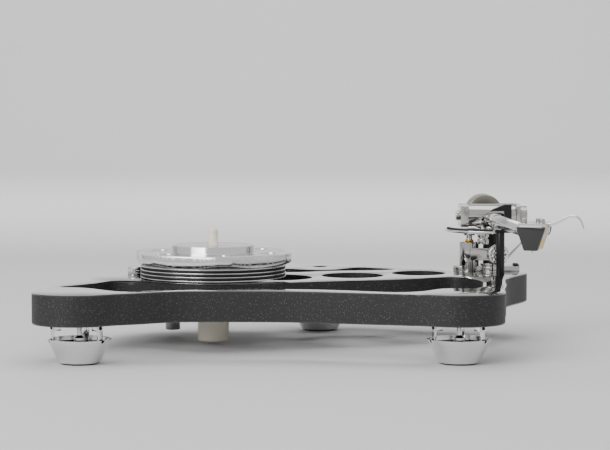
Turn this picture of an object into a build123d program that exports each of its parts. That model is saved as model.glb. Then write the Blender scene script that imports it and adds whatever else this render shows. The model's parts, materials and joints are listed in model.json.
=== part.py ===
"""Belt-drive record player with an open, skeletal plinth, its platter lifted off.

All sizes are in millimetres. The plinth, drive and feet are placed from the spindle axis, and
the pick-up arm from its own pivot. The origin is the middle of the whole footprint, on the
surface that the feet stand on: +X right, +Y back, +Z up.
"""

from build123d import *
from math import acos, cos, degrees, radians, sin
import os

os.makedirs("parts", exist_ok=True)

# ---------------------------------------------------------------- driving dimensions
SPINDLE_X, SPINDLE_Y = -67.9, 35.5          # spindle axis, from the middle of the footprint
PLINTH_BOTTOM = 28.6                        # height of the plinth's underside
PLINTH_THICKNESS = 22.4                     # over both skins
PLINTH_TOP = PLINTH_BOTTOM + PLINTH_THICKNESS
SKIN = 0.8                                  # each glossy laminate skin

RUNNING_FIT = 0.05                          # radial gap of a shaft in its hole
BODY_GAP = 0.3                              # gap between pieces that move past each other
BODY_FIT = 0.1                              # radial gap of a fixed piece in its hole

HOUSING_RADIUS = 12.0                       # ceramic bearing housing
HOUSING_BOTTOM = 2.6
BEARING_RADIUS = 5.0                        # shaft inside the housing
THRUST_BALL_RADIUS = 2.5
HOUSING_FLOOR = 6.0                         # closed end of the housing

HUB_RADIUS = 55.5                           # over the ridges between the belts
HUB_CLEARANCE = 0.7                         # hub's underside above the top skin
RIDGE_PITCH = 2.83
BELT_COUNT = 3
RIDGE_WIDTH = 0.9
GROOVE_DEPTH = 1.9
BELT_HEIGHT = 1.45
BELT_DEPTH = 1.4
PLATE_APOTHEM = 56.5                        # six-sided platter carrier
PLATE_CORNER_RADIUS = 62.0
PLATE_THICKNESS = 9.5
PLATE_UNDERCUT = 3.0                        # the underside rises by this at the corners
PLATE_TURN = -80.7                          # bearing of one corner
PLATE_HOLE_RADIUS = 6.5
PLATE_HOLE_CIRCLE = 45.0
BOSS_RADIUS = 31.65
BOSS_HEIGHT = 5.3
SPINDLE_RADIUS = 3.6
SPINDLE_HEIGHT = 12.8

PULLEY_RADIUS = 8.2
PULLEY_GAP = 5.5                            # between the hub and the pulley
MOTOR_BEARING = 119.9                       # direction of the motor from the spindle
MOTOR_SHAFT_RADIUS = 1.6
MOTOR_RADIUS = 18.0
MOTOR_BOTTOM = 16.0
MOTOR_FLANGE_RADIUS = 24.0
MOTOR_FLANGE = 2.4
MOTOR_BOSS_RADIUS = 5.75
MOTOR_BOSS_BOTTOM = 4.5

FEET = {"front_left": (-90.7, -126.0), "front_right": (180.3, -126.0), "rear": (82.2, 99.0)}
PAD_RADIUS = 12.6
PAD_HEIGHT = 1.2
CONE_BASE_RADIUS = 14.75
CONE_RIM_WALL = 2.55                        # outside the straps
CONE_TOP = 18.0
CONE_WALL = 1.8
CONE_FLOOR = 3.0
STRAP_COUNT = 3
STRAP_WIDTH = 5.0
STRAP_THICKNESS = 1.2
STRAP_RADIUS = 19.4                         # inner face of each strap
STRAP_LAP = 2.8                             # how far a strap reaches down inside the rim
STRAP_LUG = 4.2                             # height of the block behind each strap's top
STRAP_LUG_DEPTH = 5.0
STUD_RADIUS = 1.9                           # levelling stud in the middle of each foot
STUD_FOOT_RADIUS = 4.0
STUD_FOOT_TOP = 18.5
STUD_SHOULDER = 2.0                         # height of the slope between the two
SCREW_HEAD_RADIUS = 1.35
SCREW_HEAD = 1.0

PIVOT_X, PIVOT_Y = 216.6, 48.8              # arm pivot, from the spindle
ARM_HEIGHT = PLINTH_TOP + 44.5              # arm's pitch axis
ARM_PARKED = 2.25                           # degrees outward of straight ahead
ARM_LENGTH = 237.0                          # pivot to stylus
ARM_BASE = 4.5
PILLAR_RADIUS = 6.5
STEM_RADIUS = 4.0
PILLAR_FLOOR = 4.5                          # solid foot of the pillar, below the stem's bore
BARREL_RADIUS = 8.5
BARREL_LENGTH = 37.0
CHEEK_WIDTH = 17.0
CHEEK_HEIGHT = 17.6
LEFT_CHEEK = 6.0
RIGHT_CHEEK = 3.2
PIVOT_PIN_RADIUS = 1.5
YOKE_BACK = 4.0
YOKE_FOOT = 5.0
CAP_RADIUS = 3.8
DIAL_RADIUS = 7.5
DIAL_THICKNESS = 5.2
TUBE_ROOT_RADIUS = 5.2
TUBE_TIP_RADIUS = 4.4
TUBE_END = 207.0                            # along the arm
TUBE_DROP = 3.0                             # tube's axis below the pitch axis, at the barrel
TUBE_RISE = 1.3                             # tube's axis above the pitch axis, at the headshell
ROD_RADIUS = 4.0
ROD_LENGTH = 70.0
WEIGHT_RADIUS = 14.0
WEIGHT_LENGTH = 22.0
WEIGHT_DISTANCE = 55.0                      # behind the pivot

HEADSHELL_OFFSET = 23.6                     # degrees inward
HEADSHELL_WIDTH = 19.0
HEADSHELL_LENGTH = 30.0
HEADSHELL_THICKNESS = 2.4
HEADSHELL_TOP = ARM_HEIGHT + 8.7
CARTRIDGE_TOP_WIDTH = 20.3
CARTRIDGE_LOW_WIDTH = 9.4
CARTRIDGE_HEIGHT = 16.2
CARTRIDGE_DEPTH = 17.0
COVER_DEPTH = 4.0                           # black front of the cartridge
STYLUS_TIP = HEADSHELL_TOP - 20.8

CYLINDER_X, CYLINDER_Y = -17.0, 3.2         # arm lift, from the arm pivot
CYLINDER_RADIUS = 7.75
CYLINDER_HEIGHT = 23.7
LIFT_POST_RADIUS = 2.5
LIFT_TRAVEL = 3.0
LIFT_ARC_RADIUS = 34.0
LIFT_ARC_WIDTH = 5.0
LIFT_PLATE_BOTTOM = ARM_HEIGHT - 12.3
LIFT_PLATE = 2.0
LIFT_PAD = 1.4
LEVER_X, LEVER_Z = 4.4, PLINTH_TOP + 14.6   # lever axis: right of the arm pivot, above the floor
LEVER_DIAL_RADIUS = 7.7
REST_X, REST_Y = 4.6, -31.5                 # arm rest post, from the arm pivot
REST_POST_RADIUS = 3.2

# ---------------------------------------------------------------- derived heights
MOTOR_DISTANCE = HUB_RADIUS + PULLEY_GAP + PULLEY_RADIUS
MOTOR_X = MOTOR_DISTANCE * cos(radians(MOTOR_BEARING))
MOTOR_Y = MOTOR_DISTANCE * sin(radians(MOTOR_BEARING))
CONE_RIM_RADIUS = STRAP_RADIUS + STRAP_THICKNESS + CONE_RIM_WALL
HUB_BOTTOM = PLINTH_TOP + HUB_CLEARANCE
HUB_HEIGHT = BELT_COUNT * RIDGE_PITCH + RIDGE_WIDTH
HUB_TOP = HUB_BOTTOM + HUB_HEIGHT
PLATE_TOP = HUB_TOP + PLATE_THICKNESS
BOSS_TOP = PLATE_TOP + BOSS_HEIGHT
HOUSING_TOP = PLINTH_TOP + BODY_GAP
SHAFT_BOTTOM = HOUSING_BOTTOM + HOUSING_FLOOR + 2 * THRUST_BALL_RADIUS + RUNNING_FIT
ARM_BASE_TOP = PLINTH_TOP + ARM_BASE
BARREL_BOTTOM = ARM_HEIGHT - BARREL_RADIUS
YOKE_FOOT_TOP = BARREL_BOTTOM - BODY_GAP
YOKE_FOOT_BOTTOM = YOKE_FOOT_TOP - YOKE_FOOT
PILLAR_TOP = YOKE_FOOT_BOTTOM - BODY_GAP
CYLINDER_TOP = PLINTH_TOP + CYLINDER_HEIGHT
CARTRIDGE_TOP = HEADSHELL_TOP - HEADSHELL_THICKNESS
CARTRIDGE_BOTTOM = CARTRIDGE_TOP - CARTRIDGE_HEIGHT


def level(height):
    """A horizontal plane at a height, with its middle on the spindle axis."""
    return Plane((SPINDLE_X, SPINDLE_Y, height))


def pivot_level(height):
    """A horizontal plane at a height, with its middle on the arm's pivot axis."""
    return Plane((SPINDLE_X + PIVOT_X, SPINDLE_Y + PIVOT_Y, height))


def arm_level(height):
    """A horizontal plane at a height above the floor: x runs along the arm, y to its right."""
    along = (sin(radians(ARM_PARKED)), -cos(radians(ARM_PARKED)), 0)
    return Plane((SPINDLE_X + PIVOT_X, SPINDLE_Y + PIVOT_Y, height), x_dir=along)


ARM = arm_level(ARM_HEIGHT)


def across_arm(distance):
    """A plane square to the arm, with its middle on the arm axis: x to the right, y up."""
    return Plane(ARM.from_local_coords((distance, 0, 0)), x_dir=ARM.y_dir, z_dir=ARM.x_dir)


def beside_arm(distance):
    """A plane along the arm, to its right by a distance: its normal points to the right."""
    return Plane(ARM.from_local_coords((0, distance, 0)), x_dir=-ARM.x_dir, z_dir=ARM.y_dir)


def headshell_level(height):
    """A horizontal plane over the stylus: x runs along the cartridge, y to its right."""
    bearing = radians(ARM_PARKED - HEADSHELL_OFFSET)
    stylus = ARM.from_local_coords((ARM_LENGTH, 0, height - ARM_HEIGHT))
    return Plane(stylus, x_dir=(sin(bearing), -cos(bearing), 0))


def revolved(points, centre):
    """A closed outline of (radius, height) points, turned about a vertical axis."""
    with BuildPart() as turned:
        with BuildSketch(Plane((centre[0], centre[1], 0), x_dir=(1, 0, 0), z_dir=(0, -1, 0))):
            Polygon(*points, align=None)
        revolve(axis=Axis((centre[0], centre[1], 0), (0, 0, 1)))
    return turned


SPINDLE = (SPINDLE_X, SPINDLE_Y)
MOTOR = (SPINDLE_X + MOTOR_X, SPINDLE_Y + MOTOR_Y)

# ---------------------------------------------------------------- plinth
LEFT_LOBE, LEFT_LOBE_RADIUS = (-93.0, -122.0), 32.0
RIGHT_LOBE, RIGHT_LOBE_RADIUS = (181.0, -121.0), 32.5
ARM_LOBE, ARM_LOBE_RADIUS = (213.5, 47.0), 31.0
REAR_LOBE, REAR_LOBE_RADIUS = (82.0, 97.0), 30.0
DRIVE_LOBE_RADIUS = MOTOR_DISTANCE + MOTOR_RADIUS + 7.8
BEAM_HOLES = [((49.2, -1.7), 26.5), ((106.8, 16.2), 24.0), ((159.0, 37.2), 21.0)]
MOTOR_OPENING = 0.4                         # radial gap of the motor in the plinth

FRONT_OPENING = [
    (-104, -86), (-84, -96), (-70, -113), (-57, -121), (-38, -109), (0, -101), (56, -101),
    (104, -113), (142, -124), (158, -113), (172, -96), (193, -93), (201, -70), (199, -20),
    (184, 1), (161, -9), (105, -31), (56, -48), (20, -62), (-14, -61), (-53, -34), (-72, -31),
    (-88, -56),
]
REAR_OPENING = [
    (52, 60), (56, 78), (72, 69), (84, 66), (99, 77), (113, 91), (128, 84), (141, 74),
    (115, 62), (88, 57), (66, 47), (54, 46),
]


def plinth_outline():
    """The plinth's plan: four lobes and the drive end, joined by flowing edges."""
    with BuildSketch() as plan:
        with BuildLine():
            left = CenterArc(LEFT_LOBE, LEFT_LOBE_RADIUS, 180, 133)
            right = CenterArc(RIGHT_LOBE, RIGHT_LOBE_RADIUS, 242, 118)
            arm = CenterArc(ARM_LOBE, ARM_LOBE_RADIUS, -14, 94)
            rear = CenterArc(REAR_LOBE, REAR_LOBE_RADIUS, 62, 103)
            drive = CenterArc((0, 0), DRIVE_LOBE_RADIUS, 66, 119)
            Spline(left @ 1, (-49, -133), (-28, -120.5), (12, -116.5), (52, -118), (88, -126),
                   (130, -137.5), right @ 0, tangents=(left % 1, right % 0))
            Spline(right @ 1, (218.5, -70), (226, -4), arm @ 0, tangents=(right % 1, arm % 0))
            Spline(arm @ 1, (180, 87), (148, 102.5), (119, 114.5), rear @ 0,
                   tangents=(arm % 1, rear % 0))
            Spline(rear @ 1, drive @ 0, tangents=(rear % 1, drive % 0))
            Spline(drive @ 1, (-104.5, -48), (-117, -83), left @ 0, tangents=(drive % 1, left % 0))
        make_face()
        for opening in (FRONT_OPENING, REAR_OPENING):
            with BuildLine():
                Spline(*opening, periodic=True)
            make_face(mode=Mode.SUBTRACT)
        for centre, radius in BEAM_HOLES:
            with Locations(centre):
                Circle(radius, mode=Mode.SUBTRACT)
        Circle(HOUSING_RADIUS + BODY_FIT, mode=Mode.SUBTRACT)
    return plan.sketch


OUTLINE = plinth_outline()
FIXING_BEARING = 167.2                      # direction of the socket-head fixing from the spindle
FIXING_DISTANCE = HUB_RADIUS + 7.5
FIXING_X = FIXING_DISTANCE * cos(radians(FIXING_BEARING))
FIXING_Y = FIXING_DISTANCE * sin(radians(FIXING_BEARING))
FIXING_RADIUS = 5.1
FIXING_HEIGHT = 7.0
FIXING_BORE = 2.6
BOLT_HOLE_RADIUS = 5.5
BOLT_HOLE_DEPTH = 9.0
BOLT_SINK = 2.0                             # bolt head's top below the plinth's top
PULLEY_HOLE_RADIUS = 4.0

with BuildPart() as plinth_core:
    with BuildSketch(level(PLINTH_BOTTOM + SKIN)):
        add(OUTLINE)
    extrude(amount=PLINTH_THICKNESS - 2 * SKIN)
    with BuildSketch(level(PLINTH_BOTTOM + SKIN)):
        with Locations((MOTOR_X, MOTOR_Y)):
            Circle(MOTOR_RADIUS + MOTOR_OPENING)
    extrude(amount=PLINTH_THICKNESS - 2 * SKIN, mode=Mode.SUBTRACT)
    with BuildSketch(level(PLINTH_TOP - BOLT_HOLE_DEPTH)):
        with Locations(FEET["rear"]):
            Circle(BOLT_HOLE_RADIUS)
    extrude(amount=BOLT_HOLE_DEPTH, mode=Mode.SUBTRACT)
plinth_core.part.label = "plinth_core"
export_step(plinth_core.part, "parts/plinth_core.step")

with BuildPart() as plinth_top_skin:
    with BuildSketch(level(PLINTH_TOP - SKIN)):
        add(OUTLINE)
        with Locations((MOTOR_X, MOTOR_Y)):
            Circle(PULLEY_HOLE_RADIUS, mode=Mode.SUBTRACT)
        with Locations(FEET["rear"]):
            Circle(BOLT_HOLE_RADIUS, mode=Mode.SUBTRACT)
    extrude(amount=SKIN)
plinth_top_skin.part.label = "plinth_top_skin"
export_step(plinth_top_skin.part, "parts/plinth_top_skin.step")

with BuildPart() as plinth_bottom_skin:
    with BuildSketch(level(PLINTH_BOTTOM)):
        add(OUTLINE)
        with Locations((MOTOR_X, MOTOR_Y)):
            Circle(MOTOR_RADIUS + MOTOR_OPENING, mode=Mode.SUBTRACT)
    extrude(amount=SKIN)
plinth_bottom_skin.part.label = "plinth_bottom_skin"
export_step(plinth_bottom_skin.part, "parts/plinth_bottom_skin.step")

with BuildPart() as hub_side_fixing:
    with BuildSketch(level(PLINTH_TOP)):
        with Locations((FIXING_X, FIXING_Y)):
            Circle(FIXING_RADIUS)
    extrude(amount=FIXING_HEIGHT)
    chamfer(hub_side_fixing.edges().group_by(Axis.Z)[-1], length=0.4)
    with BuildSketch(level(PLINTH_TOP + FIXING_HEIGHT)):
        with Locations((FIXING_X, FIXING_Y)):
            RegularPolygon(FIXING_BORE, 6)
    extrude(amount=-FIXING_HEIGHT / 2, mode=Mode.SUBTRACT)
hub_side_fixing.part.label = "hub_side_fixing"
export_step(hub_side_fixing.part, "parts/hub_side_fixing.step")

with BuildPart() as rear_foot_bolt:
    with BuildSketch(level(PLINTH_TOP - BOLT_HOLE_DEPTH)):
        with Locations(FEET["rear"]):
            Circle(BOLT_HOLE_RADIUS - BODY_FIT)
    extrude(amount=BOLT_HOLE_DEPTH - BOLT_SINK)
    with BuildSketch(level(PLINTH_TOP - BOLT_SINK)):
        with Locations(FEET["rear"]):
            RegularPolygon(BOLT_HOLE_RADIUS / 2, 6)
    extrude(amount=-BOLT_HOLE_DEPTH / 2, mode=Mode.SUBTRACT)
rear_foot_bolt.part.label = "rear_foot_bolt"
export_step(rear_foot_bolt.part, "parts/rear_foot_bolt.step")

# ---------------------------------------------------------------- main bearing and hub
HOUSING_CHAMFER = 0.8
bearing_housing = revolved([
    (0, HOUSING_BOTTOM), (HOUSING_RADIUS - HOUSING_CHAMFER, HOUSING_BOTTOM),
    (HOUSING_RADIUS, HOUSING_BOTTOM + HOUSING_CHAMFER), (HOUSING_RADIUS, HOUSING_TOP),
    (BEARING_RADIUS + RUNNING_FIT, HOUSING_TOP),
    (BEARING_RADIUS + RUNNING_FIT, HOUSING_BOTTOM + HOUSING_FLOOR),
    (0, HOUSING_BOTTOM + HOUSING_FLOOR)], SPINDLE)
bearing_housing.part.label = "bearing_housing"
export_step(bearing_housing.part, "parts/bearing_housing.step")

with BuildPart(level(HOUSING_BOTTOM + HOUSING_FLOOR + THRUST_BALL_RADIUS)) as thrust_ball:
    Sphere(THRUST_BALL_RADIUS)
thrust_ball.part.label = "thrust_ball"
export_step(thrust_ball.part, "parts/thrust_ball.step")

with BuildPart() as spindle_shaft:
    with BuildSketch(level(SHAFT_BOTTOM)):
        Circle(BEARING_RADIUS)
    extrude(amount=BOSS_TOP - SHAFT_BOTTOM)
    with BuildSketch(level(BOSS_TOP)):
        Circle(SPINDLE_RADIUS)
    extrude(amount=SPINDLE_HEIGHT)
    fillet(spindle_shaft.edges().group_by(Axis.Z)[-1], radius=SPINDLE_RADIUS * 0.72)
spindle_shaft.part.label = "spindle_shaft"
export_step(spindle_shaft.part, "parts/spindle_shaft.step")


def grooved_profile(radius, inner):
    """Half section of a grooved drum, as (radius, height) points from the bottom up."""
    points = [(inner, HUB_BOTTOM), (radius, HUB_BOTTOM)]
    for i in range(BELT_COUNT):
        ridge_top = HUB_BOTTOM + i * RIDGE_PITCH + RIDGE_WIDTH
        points.append((radius, ridge_top))
        points.append((radius - GROOVE_DEPTH, ridge_top))
        points.append((radius - GROOVE_DEPTH, ridge_top + RIDGE_PITCH - RIDGE_WIDTH))
        points.append((radius, ridge_top + RIDGE_PITCH - RIDGE_WIDTH))
    points.append((radius, HUB_TOP))
    points.append((inner, HUB_TOP))
    return points


grooved_drum = revolved(grooved_profile(HUB_RADIUS, BEARING_RADIUS), SPINDLE)
grooved_drum.part.label = "grooved_drum"
export_step(grooved_drum.part, "parts/grooved_drum.step")

with BuildPart() as platter_carrier:
    with BuildSketch(level(HUB_TOP)):
        RegularPolygon(PLATE_APOTHEM, 6, major_radius=False, rotation=PLATE_TURN)
        Circle(PLATE_CORNER_RADIUS, mode=Mode.INTERSECT)
        Circle(BEARING_RADIUS, mode=Mode.SUBTRACT)
        with PolarLocations(PLATE_HOLE_CIRCLE, 6, start_angle=PLATE_TURN):
            Circle(PLATE_HOLE_RADIUS, mode=Mode.SUBTRACT)
    extrude(amount=PLATE_THICKNESS)
    with BuildSketch(level(PLATE_TOP)):
        Circle(BOSS_RADIUS)
        Circle(BEARING_RADIUS, mode=Mode.SUBTRACT)
    extrude(amount=BOSS_HEIGHT)
    edge = PLATE_CORNER_RADIUS + 1
    with BuildSketch(Plane((SPINDLE_X, SPINDLE_Y, 0), x_dir=(1, 0, 0), z_dir=(0, -1, 0))):
        Polygon((PLATE_APOTHEM - 1, HUB_TOP - 1), (edge, HUB_TOP - 1),
                (edge, HUB_TOP + PLATE_UNDERCUT + 0.6), (PLATE_APOTHEM - 1, HUB_TOP), align=None)
    revolve(axis=Axis((SPINDLE_X, SPINDLE_Y, 0), (0, 0, 1)), mode=Mode.SUBTRACT)
platter_carrier.part.label = "platter_carrier"
export_step(platter_carrier.part, "parts/platter_carrier.step")

# ---------------------------------------------------------------- motor, pulley and belts
MOTOR_TOP = PLINTH_TOP - SKIN - BODY_GAP
PULLEY_BOTTOM = HUB_BOTTOM

with BuildPart() as motor_can:
    with BuildSketch(level(MOTOR_BOTTOM)):
        with Locations((MOTOR_X, MOTOR_Y)):
            Circle(MOTOR_RADIUS)
    extrude(amount=MOTOR_TOP - MOTOR_BOTTOM)
    with BuildSketch(level(MOTOR_TOP)):
        with Locations((MOTOR_X, MOTOR_Y)):
            Circle(MOTOR_SHAFT_RADIUS + RUNNING_FIT)
    extrude(amount=-(MOTOR_TOP - MOTOR_BOTTOM) / 2, mode=Mode.SUBTRACT)
motor_can.part.label = "motor_can"
export_step(motor_can.part, "parts/motor_can.step")

with BuildPart() as motor_flange:
    with BuildSketch(level(PLINTH_BOTTOM)):
        with Locations((MOTOR_X, MOTOR_Y)):
            Circle(MOTOR_FLANGE_RADIUS)
            Circle(MOTOR_RADIUS, mode=Mode.SUBTRACT)
    extrude(amount=-MOTOR_FLANGE)
motor_flange.part.label = "motor_flange"
export_step(motor_flange.part, "parts/motor_flange.step")

with BuildPart() as motor_lower_boss:
    with BuildSketch(level(MOTOR_BOSS_BOTTOM)):
        with Locations((MOTOR_X, MOTOR_Y)):
            Circle(MOTOR_BOSS_RADIUS)
    extrude(amount=MOTOR_BOTTOM - MOTOR_BOSS_BOTTOM)
    chamfer(motor_lower_boss.edges().group_by(Axis.Z)[0], length=0.6)
motor_lower_boss.part.label = "motor_lower_boss"
export_step(motor_lower_boss.part, "parts/motor_lower_boss.step")

motor_pulley = revolved(grooved_profile(PULLEY_RADIUS, MOTOR_SHAFT_RADIUS), MOTOR)
motor_pulley.part.label = "motor_pulley"
export_step(motor_pulley.part, "parts/motor_pulley.step")

with BuildPart() as motor_shaft:
    with BuildSketch(level(HUB_TOP)):
        with Locations((MOTOR_X, MOTOR_Y)):
            Circle(MOTOR_SHAFT_RADIUS)
    extrude(amount=-(HUB_TOP - MOTOR_TOP + (MOTOR_TOP - MOTOR_BOTTOM) / 2 - BODY_GAP))
motor_shaft.part.label = "motor_shaft"
export_step(motor_shaft.part, "parts/motor_shaft.step")


def belt_loop(hub_radius, pulley_radius):
    """The outline of a tight loop round the hub and the pulley."""
    spread = degrees(acos((hub_radius - pulley_radius) / MOTOR_DISTANCE))
    corners = []
    for angle in (MOTOR_BEARING - spread, MOTOR_BEARING + spread):
        away = (cos(radians(angle)), sin(radians(angle)))
        hub_point = (hub_radius * away[0], hub_radius * away[1])
        pulley_point = (MOTOR_X + pulley_radius * away[0], MOTOR_Y + pulley_radius * away[1])
        corners.append((hub_point, pulley_point))
    with BuildSketch() as loop:
        Circle(hub_radius)
        with Locations((MOTOR_X, MOTOR_Y)):
            Circle(pulley_radius)
        Polygon(corners[0][0], corners[0][1], corners[1][1], corners[1][0], align=None)
    return loop.sketch


BELT_INNER = GROOVE_DEPTH - BODY_GAP        # belt's inner face, below the ridges
BELT_OUTER = BELT_INNER - BELT_DEPTH
with BuildPart() as drive_belts:
    for i in range(BELT_COUNT):
        middle = HUB_BOTTOM + RIDGE_WIDTH + i * RIDGE_PITCH + (RIDGE_PITCH - RIDGE_WIDTH) / 2
        with BuildSketch(level(middle - BELT_HEIGHT / 2)):
            add(belt_loop(HUB_RADIUS - BELT_OUTER, PULLEY_RADIUS - BELT_OUTER))
            add(belt_loop(HUB_RADIUS - BELT_INNER, PULLEY_RADIUS - BELT_INNER), mode=Mode.SUBTRACT)
        extrude(amount=BELT_HEIGHT)
drive_belts.part.label = "drive_belts"
export_step(drive_belts.part, "parts/drive_belts.step")

# ---------------------------------------------------------------- feet
STRAP_FIRST_ANGLE = 82.0
STRAP_OUTER = STRAP_RADIUS + STRAP_THICKNESS
STRAP_BOTTOM = CONE_TOP - STRAP_LAP
HIGH_SCREW = PLINTH_BOTTOM - STRAP_LUG / 2
LOW_SCREW = CONE_TOP - SCREW_HEAD_RADIUS / 2
SCREW_NOTCH = 0.15                          # gap round a screw head in the cone's rim
REBATE_GAP = 0.2                            # below each strap's lower end
STRAP_SLACK = 0.25                          # a flat strap's corners stay inside the round rebate
STRAP_FACE = STRAP_OUTER - STRAP_SLACK
PAD_TOP = PAD_HEIGHT


def strap_directions():
    """The directions in which the three straps stand from the middle of a foot."""
    angles = [radians(STRAP_FIRST_ANGLE + i * 360 / STRAP_COUNT) for i in range(STRAP_COUNT)]
    return [Vector(cos(angle), sin(angle), 0) for angle in angles]


def foot_cone(centre):
    """A hollow cone that opens upwards, with a rebate for the straps and notches for the screws."""
    middle = Vector(SPINDLE_X + centre[0], SPINDLE_Y + centre[1], LOW_SCREW)
    slope = (CONE_RIM_RADIUS - CONE_BASE_RADIUS) / (CONE_TOP - PAD_TOP)
    rebate = STRAP_BOTTOM - REBATE_GAP
    inner = CONE_BASE_RADIUS + slope * (rebate - PAD_TOP) - CONE_WALL
    turned = revolved([
        (0, PAD_TOP), (CONE_BASE_RADIUS, PAD_TOP), (CONE_RIM_RADIUS, CONE_TOP),
        (STRAP_OUTER, CONE_TOP), (STRAP_OUTER, rebate), (inner, rebate),
        (CONE_BASE_RADIUS + slope * CONE_FLOOR - CONE_WALL, PAD_TOP + CONE_FLOOR),
        (0, PAD_TOP + CONE_FLOOR)], (middle.X, middle.Y))
    with BuildPart() as cone:
        add(turned.part)
        for outward in strap_directions():
            with BuildSketch(Plane(middle + outward * STRAP_FACE, z_dir=outward)):
                Circle(SCREW_HEAD_RADIUS + SCREW_NOTCH)
            extrude(amount=2 * CONE_RIM_WALL, mode=Mode.SUBTRACT)
    return cone


for name, centre in FEET.items():
    foot = foot_cone(centre)
    foot.part.label = f"{name}_foot"
    export_step(foot.part, f"parts/{name}_foot.step")

with BuildPart() as foot_pads:
    with BuildSketch(level(0)):
        with Locations(*FEET.values()):
            Circle(PAD_RADIUS)
    extrude(amount=PAD_HEIGHT)
foot_pads.part.label = "foot_pads"
export_step(foot_pads.part, "parts/foot_pads.step")

with BuildPart() as strap_lugs:
    for x, y in FEET.values():
        for outward in strap_directions():
            top = Vector(SPINDLE_X + x, SPINDLE_Y + y, PLINTH_BOTTOM)
            behind = top + outward * (STRAP_RADIUS - STRAP_SLACK - STRAP_LUG_DEPTH / 2)
            with BuildSketch(Plane(behind, x_dir=outward)):
                Rectangle(STRAP_LUG_DEPTH, STRAP_WIDTH)
            extrude(amount=-STRAP_LUG)
strap_lugs.part.label = "strap_lugs"
export_step(strap_lugs.part, "parts/strap_lugs.step")

with BuildPart() as foot_straps:
    for x, y in FEET.values():
        for outward in strap_directions():
            low = Vector(SPINDLE_X + x, SPINDLE_Y + y, STRAP_BOTTOM)
            middle = low + outward * (STRAP_RADIUS + STRAP_THICKNESS / 2 - STRAP_SLACK)
            with BuildSketch(Plane(middle, x_dir=outward)):
                Rectangle(STRAP_THICKNESS, STRAP_WIDTH)
            extrude(amount=PLINTH_BOTTOM - STRAP_BOTTOM)
foot_straps.part.label = "foot_straps"
export_step(foot_straps.part, "parts/foot_straps.step")

with BuildPart() as foot_screws:
    for x, y in FEET.values():
        for outward in strap_directions():
            for height in (LOW_SCREW, HIGH_SCREW):
                start = Vector(SPINDLE_X + x, SPINDLE_Y + y, height) + outward * STRAP_FACE
                with BuildSketch(Plane(start, z_dir=outward)):
                    Circle(SCREW_HEAD_RADIUS)
                extrude(amount=SCREW_HEAD)
foot_screws.part.label = "foot_screws"
export_step(foot_screws.part, "parts/foot_screws.step")

with BuildPart() as levelling_studs:
    for x, y in FEET.values():
        stud = revolved([
            (0, PAD_TOP + CONE_FLOOR), (STUD_FOOT_RADIUS, PAD_TOP + CONE_FLOOR),
            (STUD_FOOT_RADIUS, STUD_FOOT_TOP), (STUD_RADIUS, STUD_FOOT_TOP + STUD_SHOULDER),
            (STUD_RADIUS, PLINTH_BOTTOM), (0, PLINTH_BOTTOM)], (SPINDLE_X + x, SPINDLE_Y + y))
        add(stud.part)
levelling_studs.part.label = "levelling_studs"
export_step(levelling_studs.part, "parts/levelling_studs.step")

# ---------------------------------------------------------------- arm base and arm rest
BASE_LENGTH, BASE_DEPTH, BASE_CORNER = 52.6, 19.0, 8.0
BASE_X, BASE_Y = -3.3, 7.5                  # middle of the base plate, from the arm pivot
COLLAR_RADIUS = 8.5
COLLAR_HEIGHT = 7.0
COLLAR_GROOVES = (0.6, 4.2)                 # heights of the two grooves' lower edges
COLLAR_GROOVE_WIDTH, COLLAR_GROOVE_DEPTH = 1.1, 1.0
BASE_SCREWS = [(20.0, 12.0), (20.0, 2.5), (-14.0, 14.0)]
BASE_SCREW_RADIUS = 2.2
BASE_SCREW_HEAD = 1.5
CABLE_SOCKET_RADIUS = 8.0
CABLE_SOCKET_WALL = 2.0
CABLE_SOCKET_LENGTH = 10.0
COLLAR_TOP = PLINTH_TOP + COLLAR_HEIGHT
PIVOT = (SPINDLE_X + PIVOT_X, SPINDLE_Y + PIVOT_Y)

with BuildPart() as arm_base_plate:
    with BuildSketch(pivot_level(PLINTH_TOP)):
        with Locations((BASE_X, BASE_Y)):
            RectangleRounded(BASE_LENGTH, BASE_DEPTH, BASE_CORNER)
        Circle(COLLAR_RADIUS + BODY_FIT, mode=Mode.SUBTRACT)
        with Locations((CYLINDER_X, CYLINDER_Y)):
            Circle(CYLINDER_RADIUS + BODY_FIT, mode=Mode.SUBTRACT)
    extrude(amount=ARM_BASE)
arm_base_plate.part.label = "arm_base_plate"
export_step(arm_base_plate.part, "parts/arm_base_plate.step")

COLLAR_OUTLINE = [(0, PLINTH_TOP), (COLLAR_RADIUS, PLINTH_TOP)]
for groove in COLLAR_GROOVES:
    low = PLINTH_TOP + groove
    high = low + COLLAR_GROOVE_WIDTH
    COLLAR_OUTLINE.append((COLLAR_RADIUS, low))
    COLLAR_OUTLINE.append((COLLAR_RADIUS - COLLAR_GROOVE_DEPTH, low))
    COLLAR_OUTLINE.append((COLLAR_RADIUS - COLLAR_GROOVE_DEPTH, high))
    COLLAR_OUTLINE.append((COLLAR_RADIUS, high))
arm_collar = revolved(COLLAR_OUTLINE + [(COLLAR_RADIUS, COLLAR_TOP), (0, COLLAR_TOP)], PIVOT)
arm_collar.part.label = "arm_collar"
export_step(arm_collar.part, "parts/arm_collar.step")

with BuildPart() as arm_base_screws:
    with BuildSketch(pivot_level(ARM_BASE_TOP)):
        with Locations(*BASE_SCREWS):
            Circle(BASE_SCREW_RADIUS)
            RegularPolygon(BASE_SCREW_RADIUS / 2, 6, mode=Mode.SUBTRACT)
    extrude(amount=BASE_SCREW_HEAD)
arm_base_screws.part.label = "arm_base_screws"
export_step(arm_base_screws.part, "parts/arm_base_screws.step")

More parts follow.
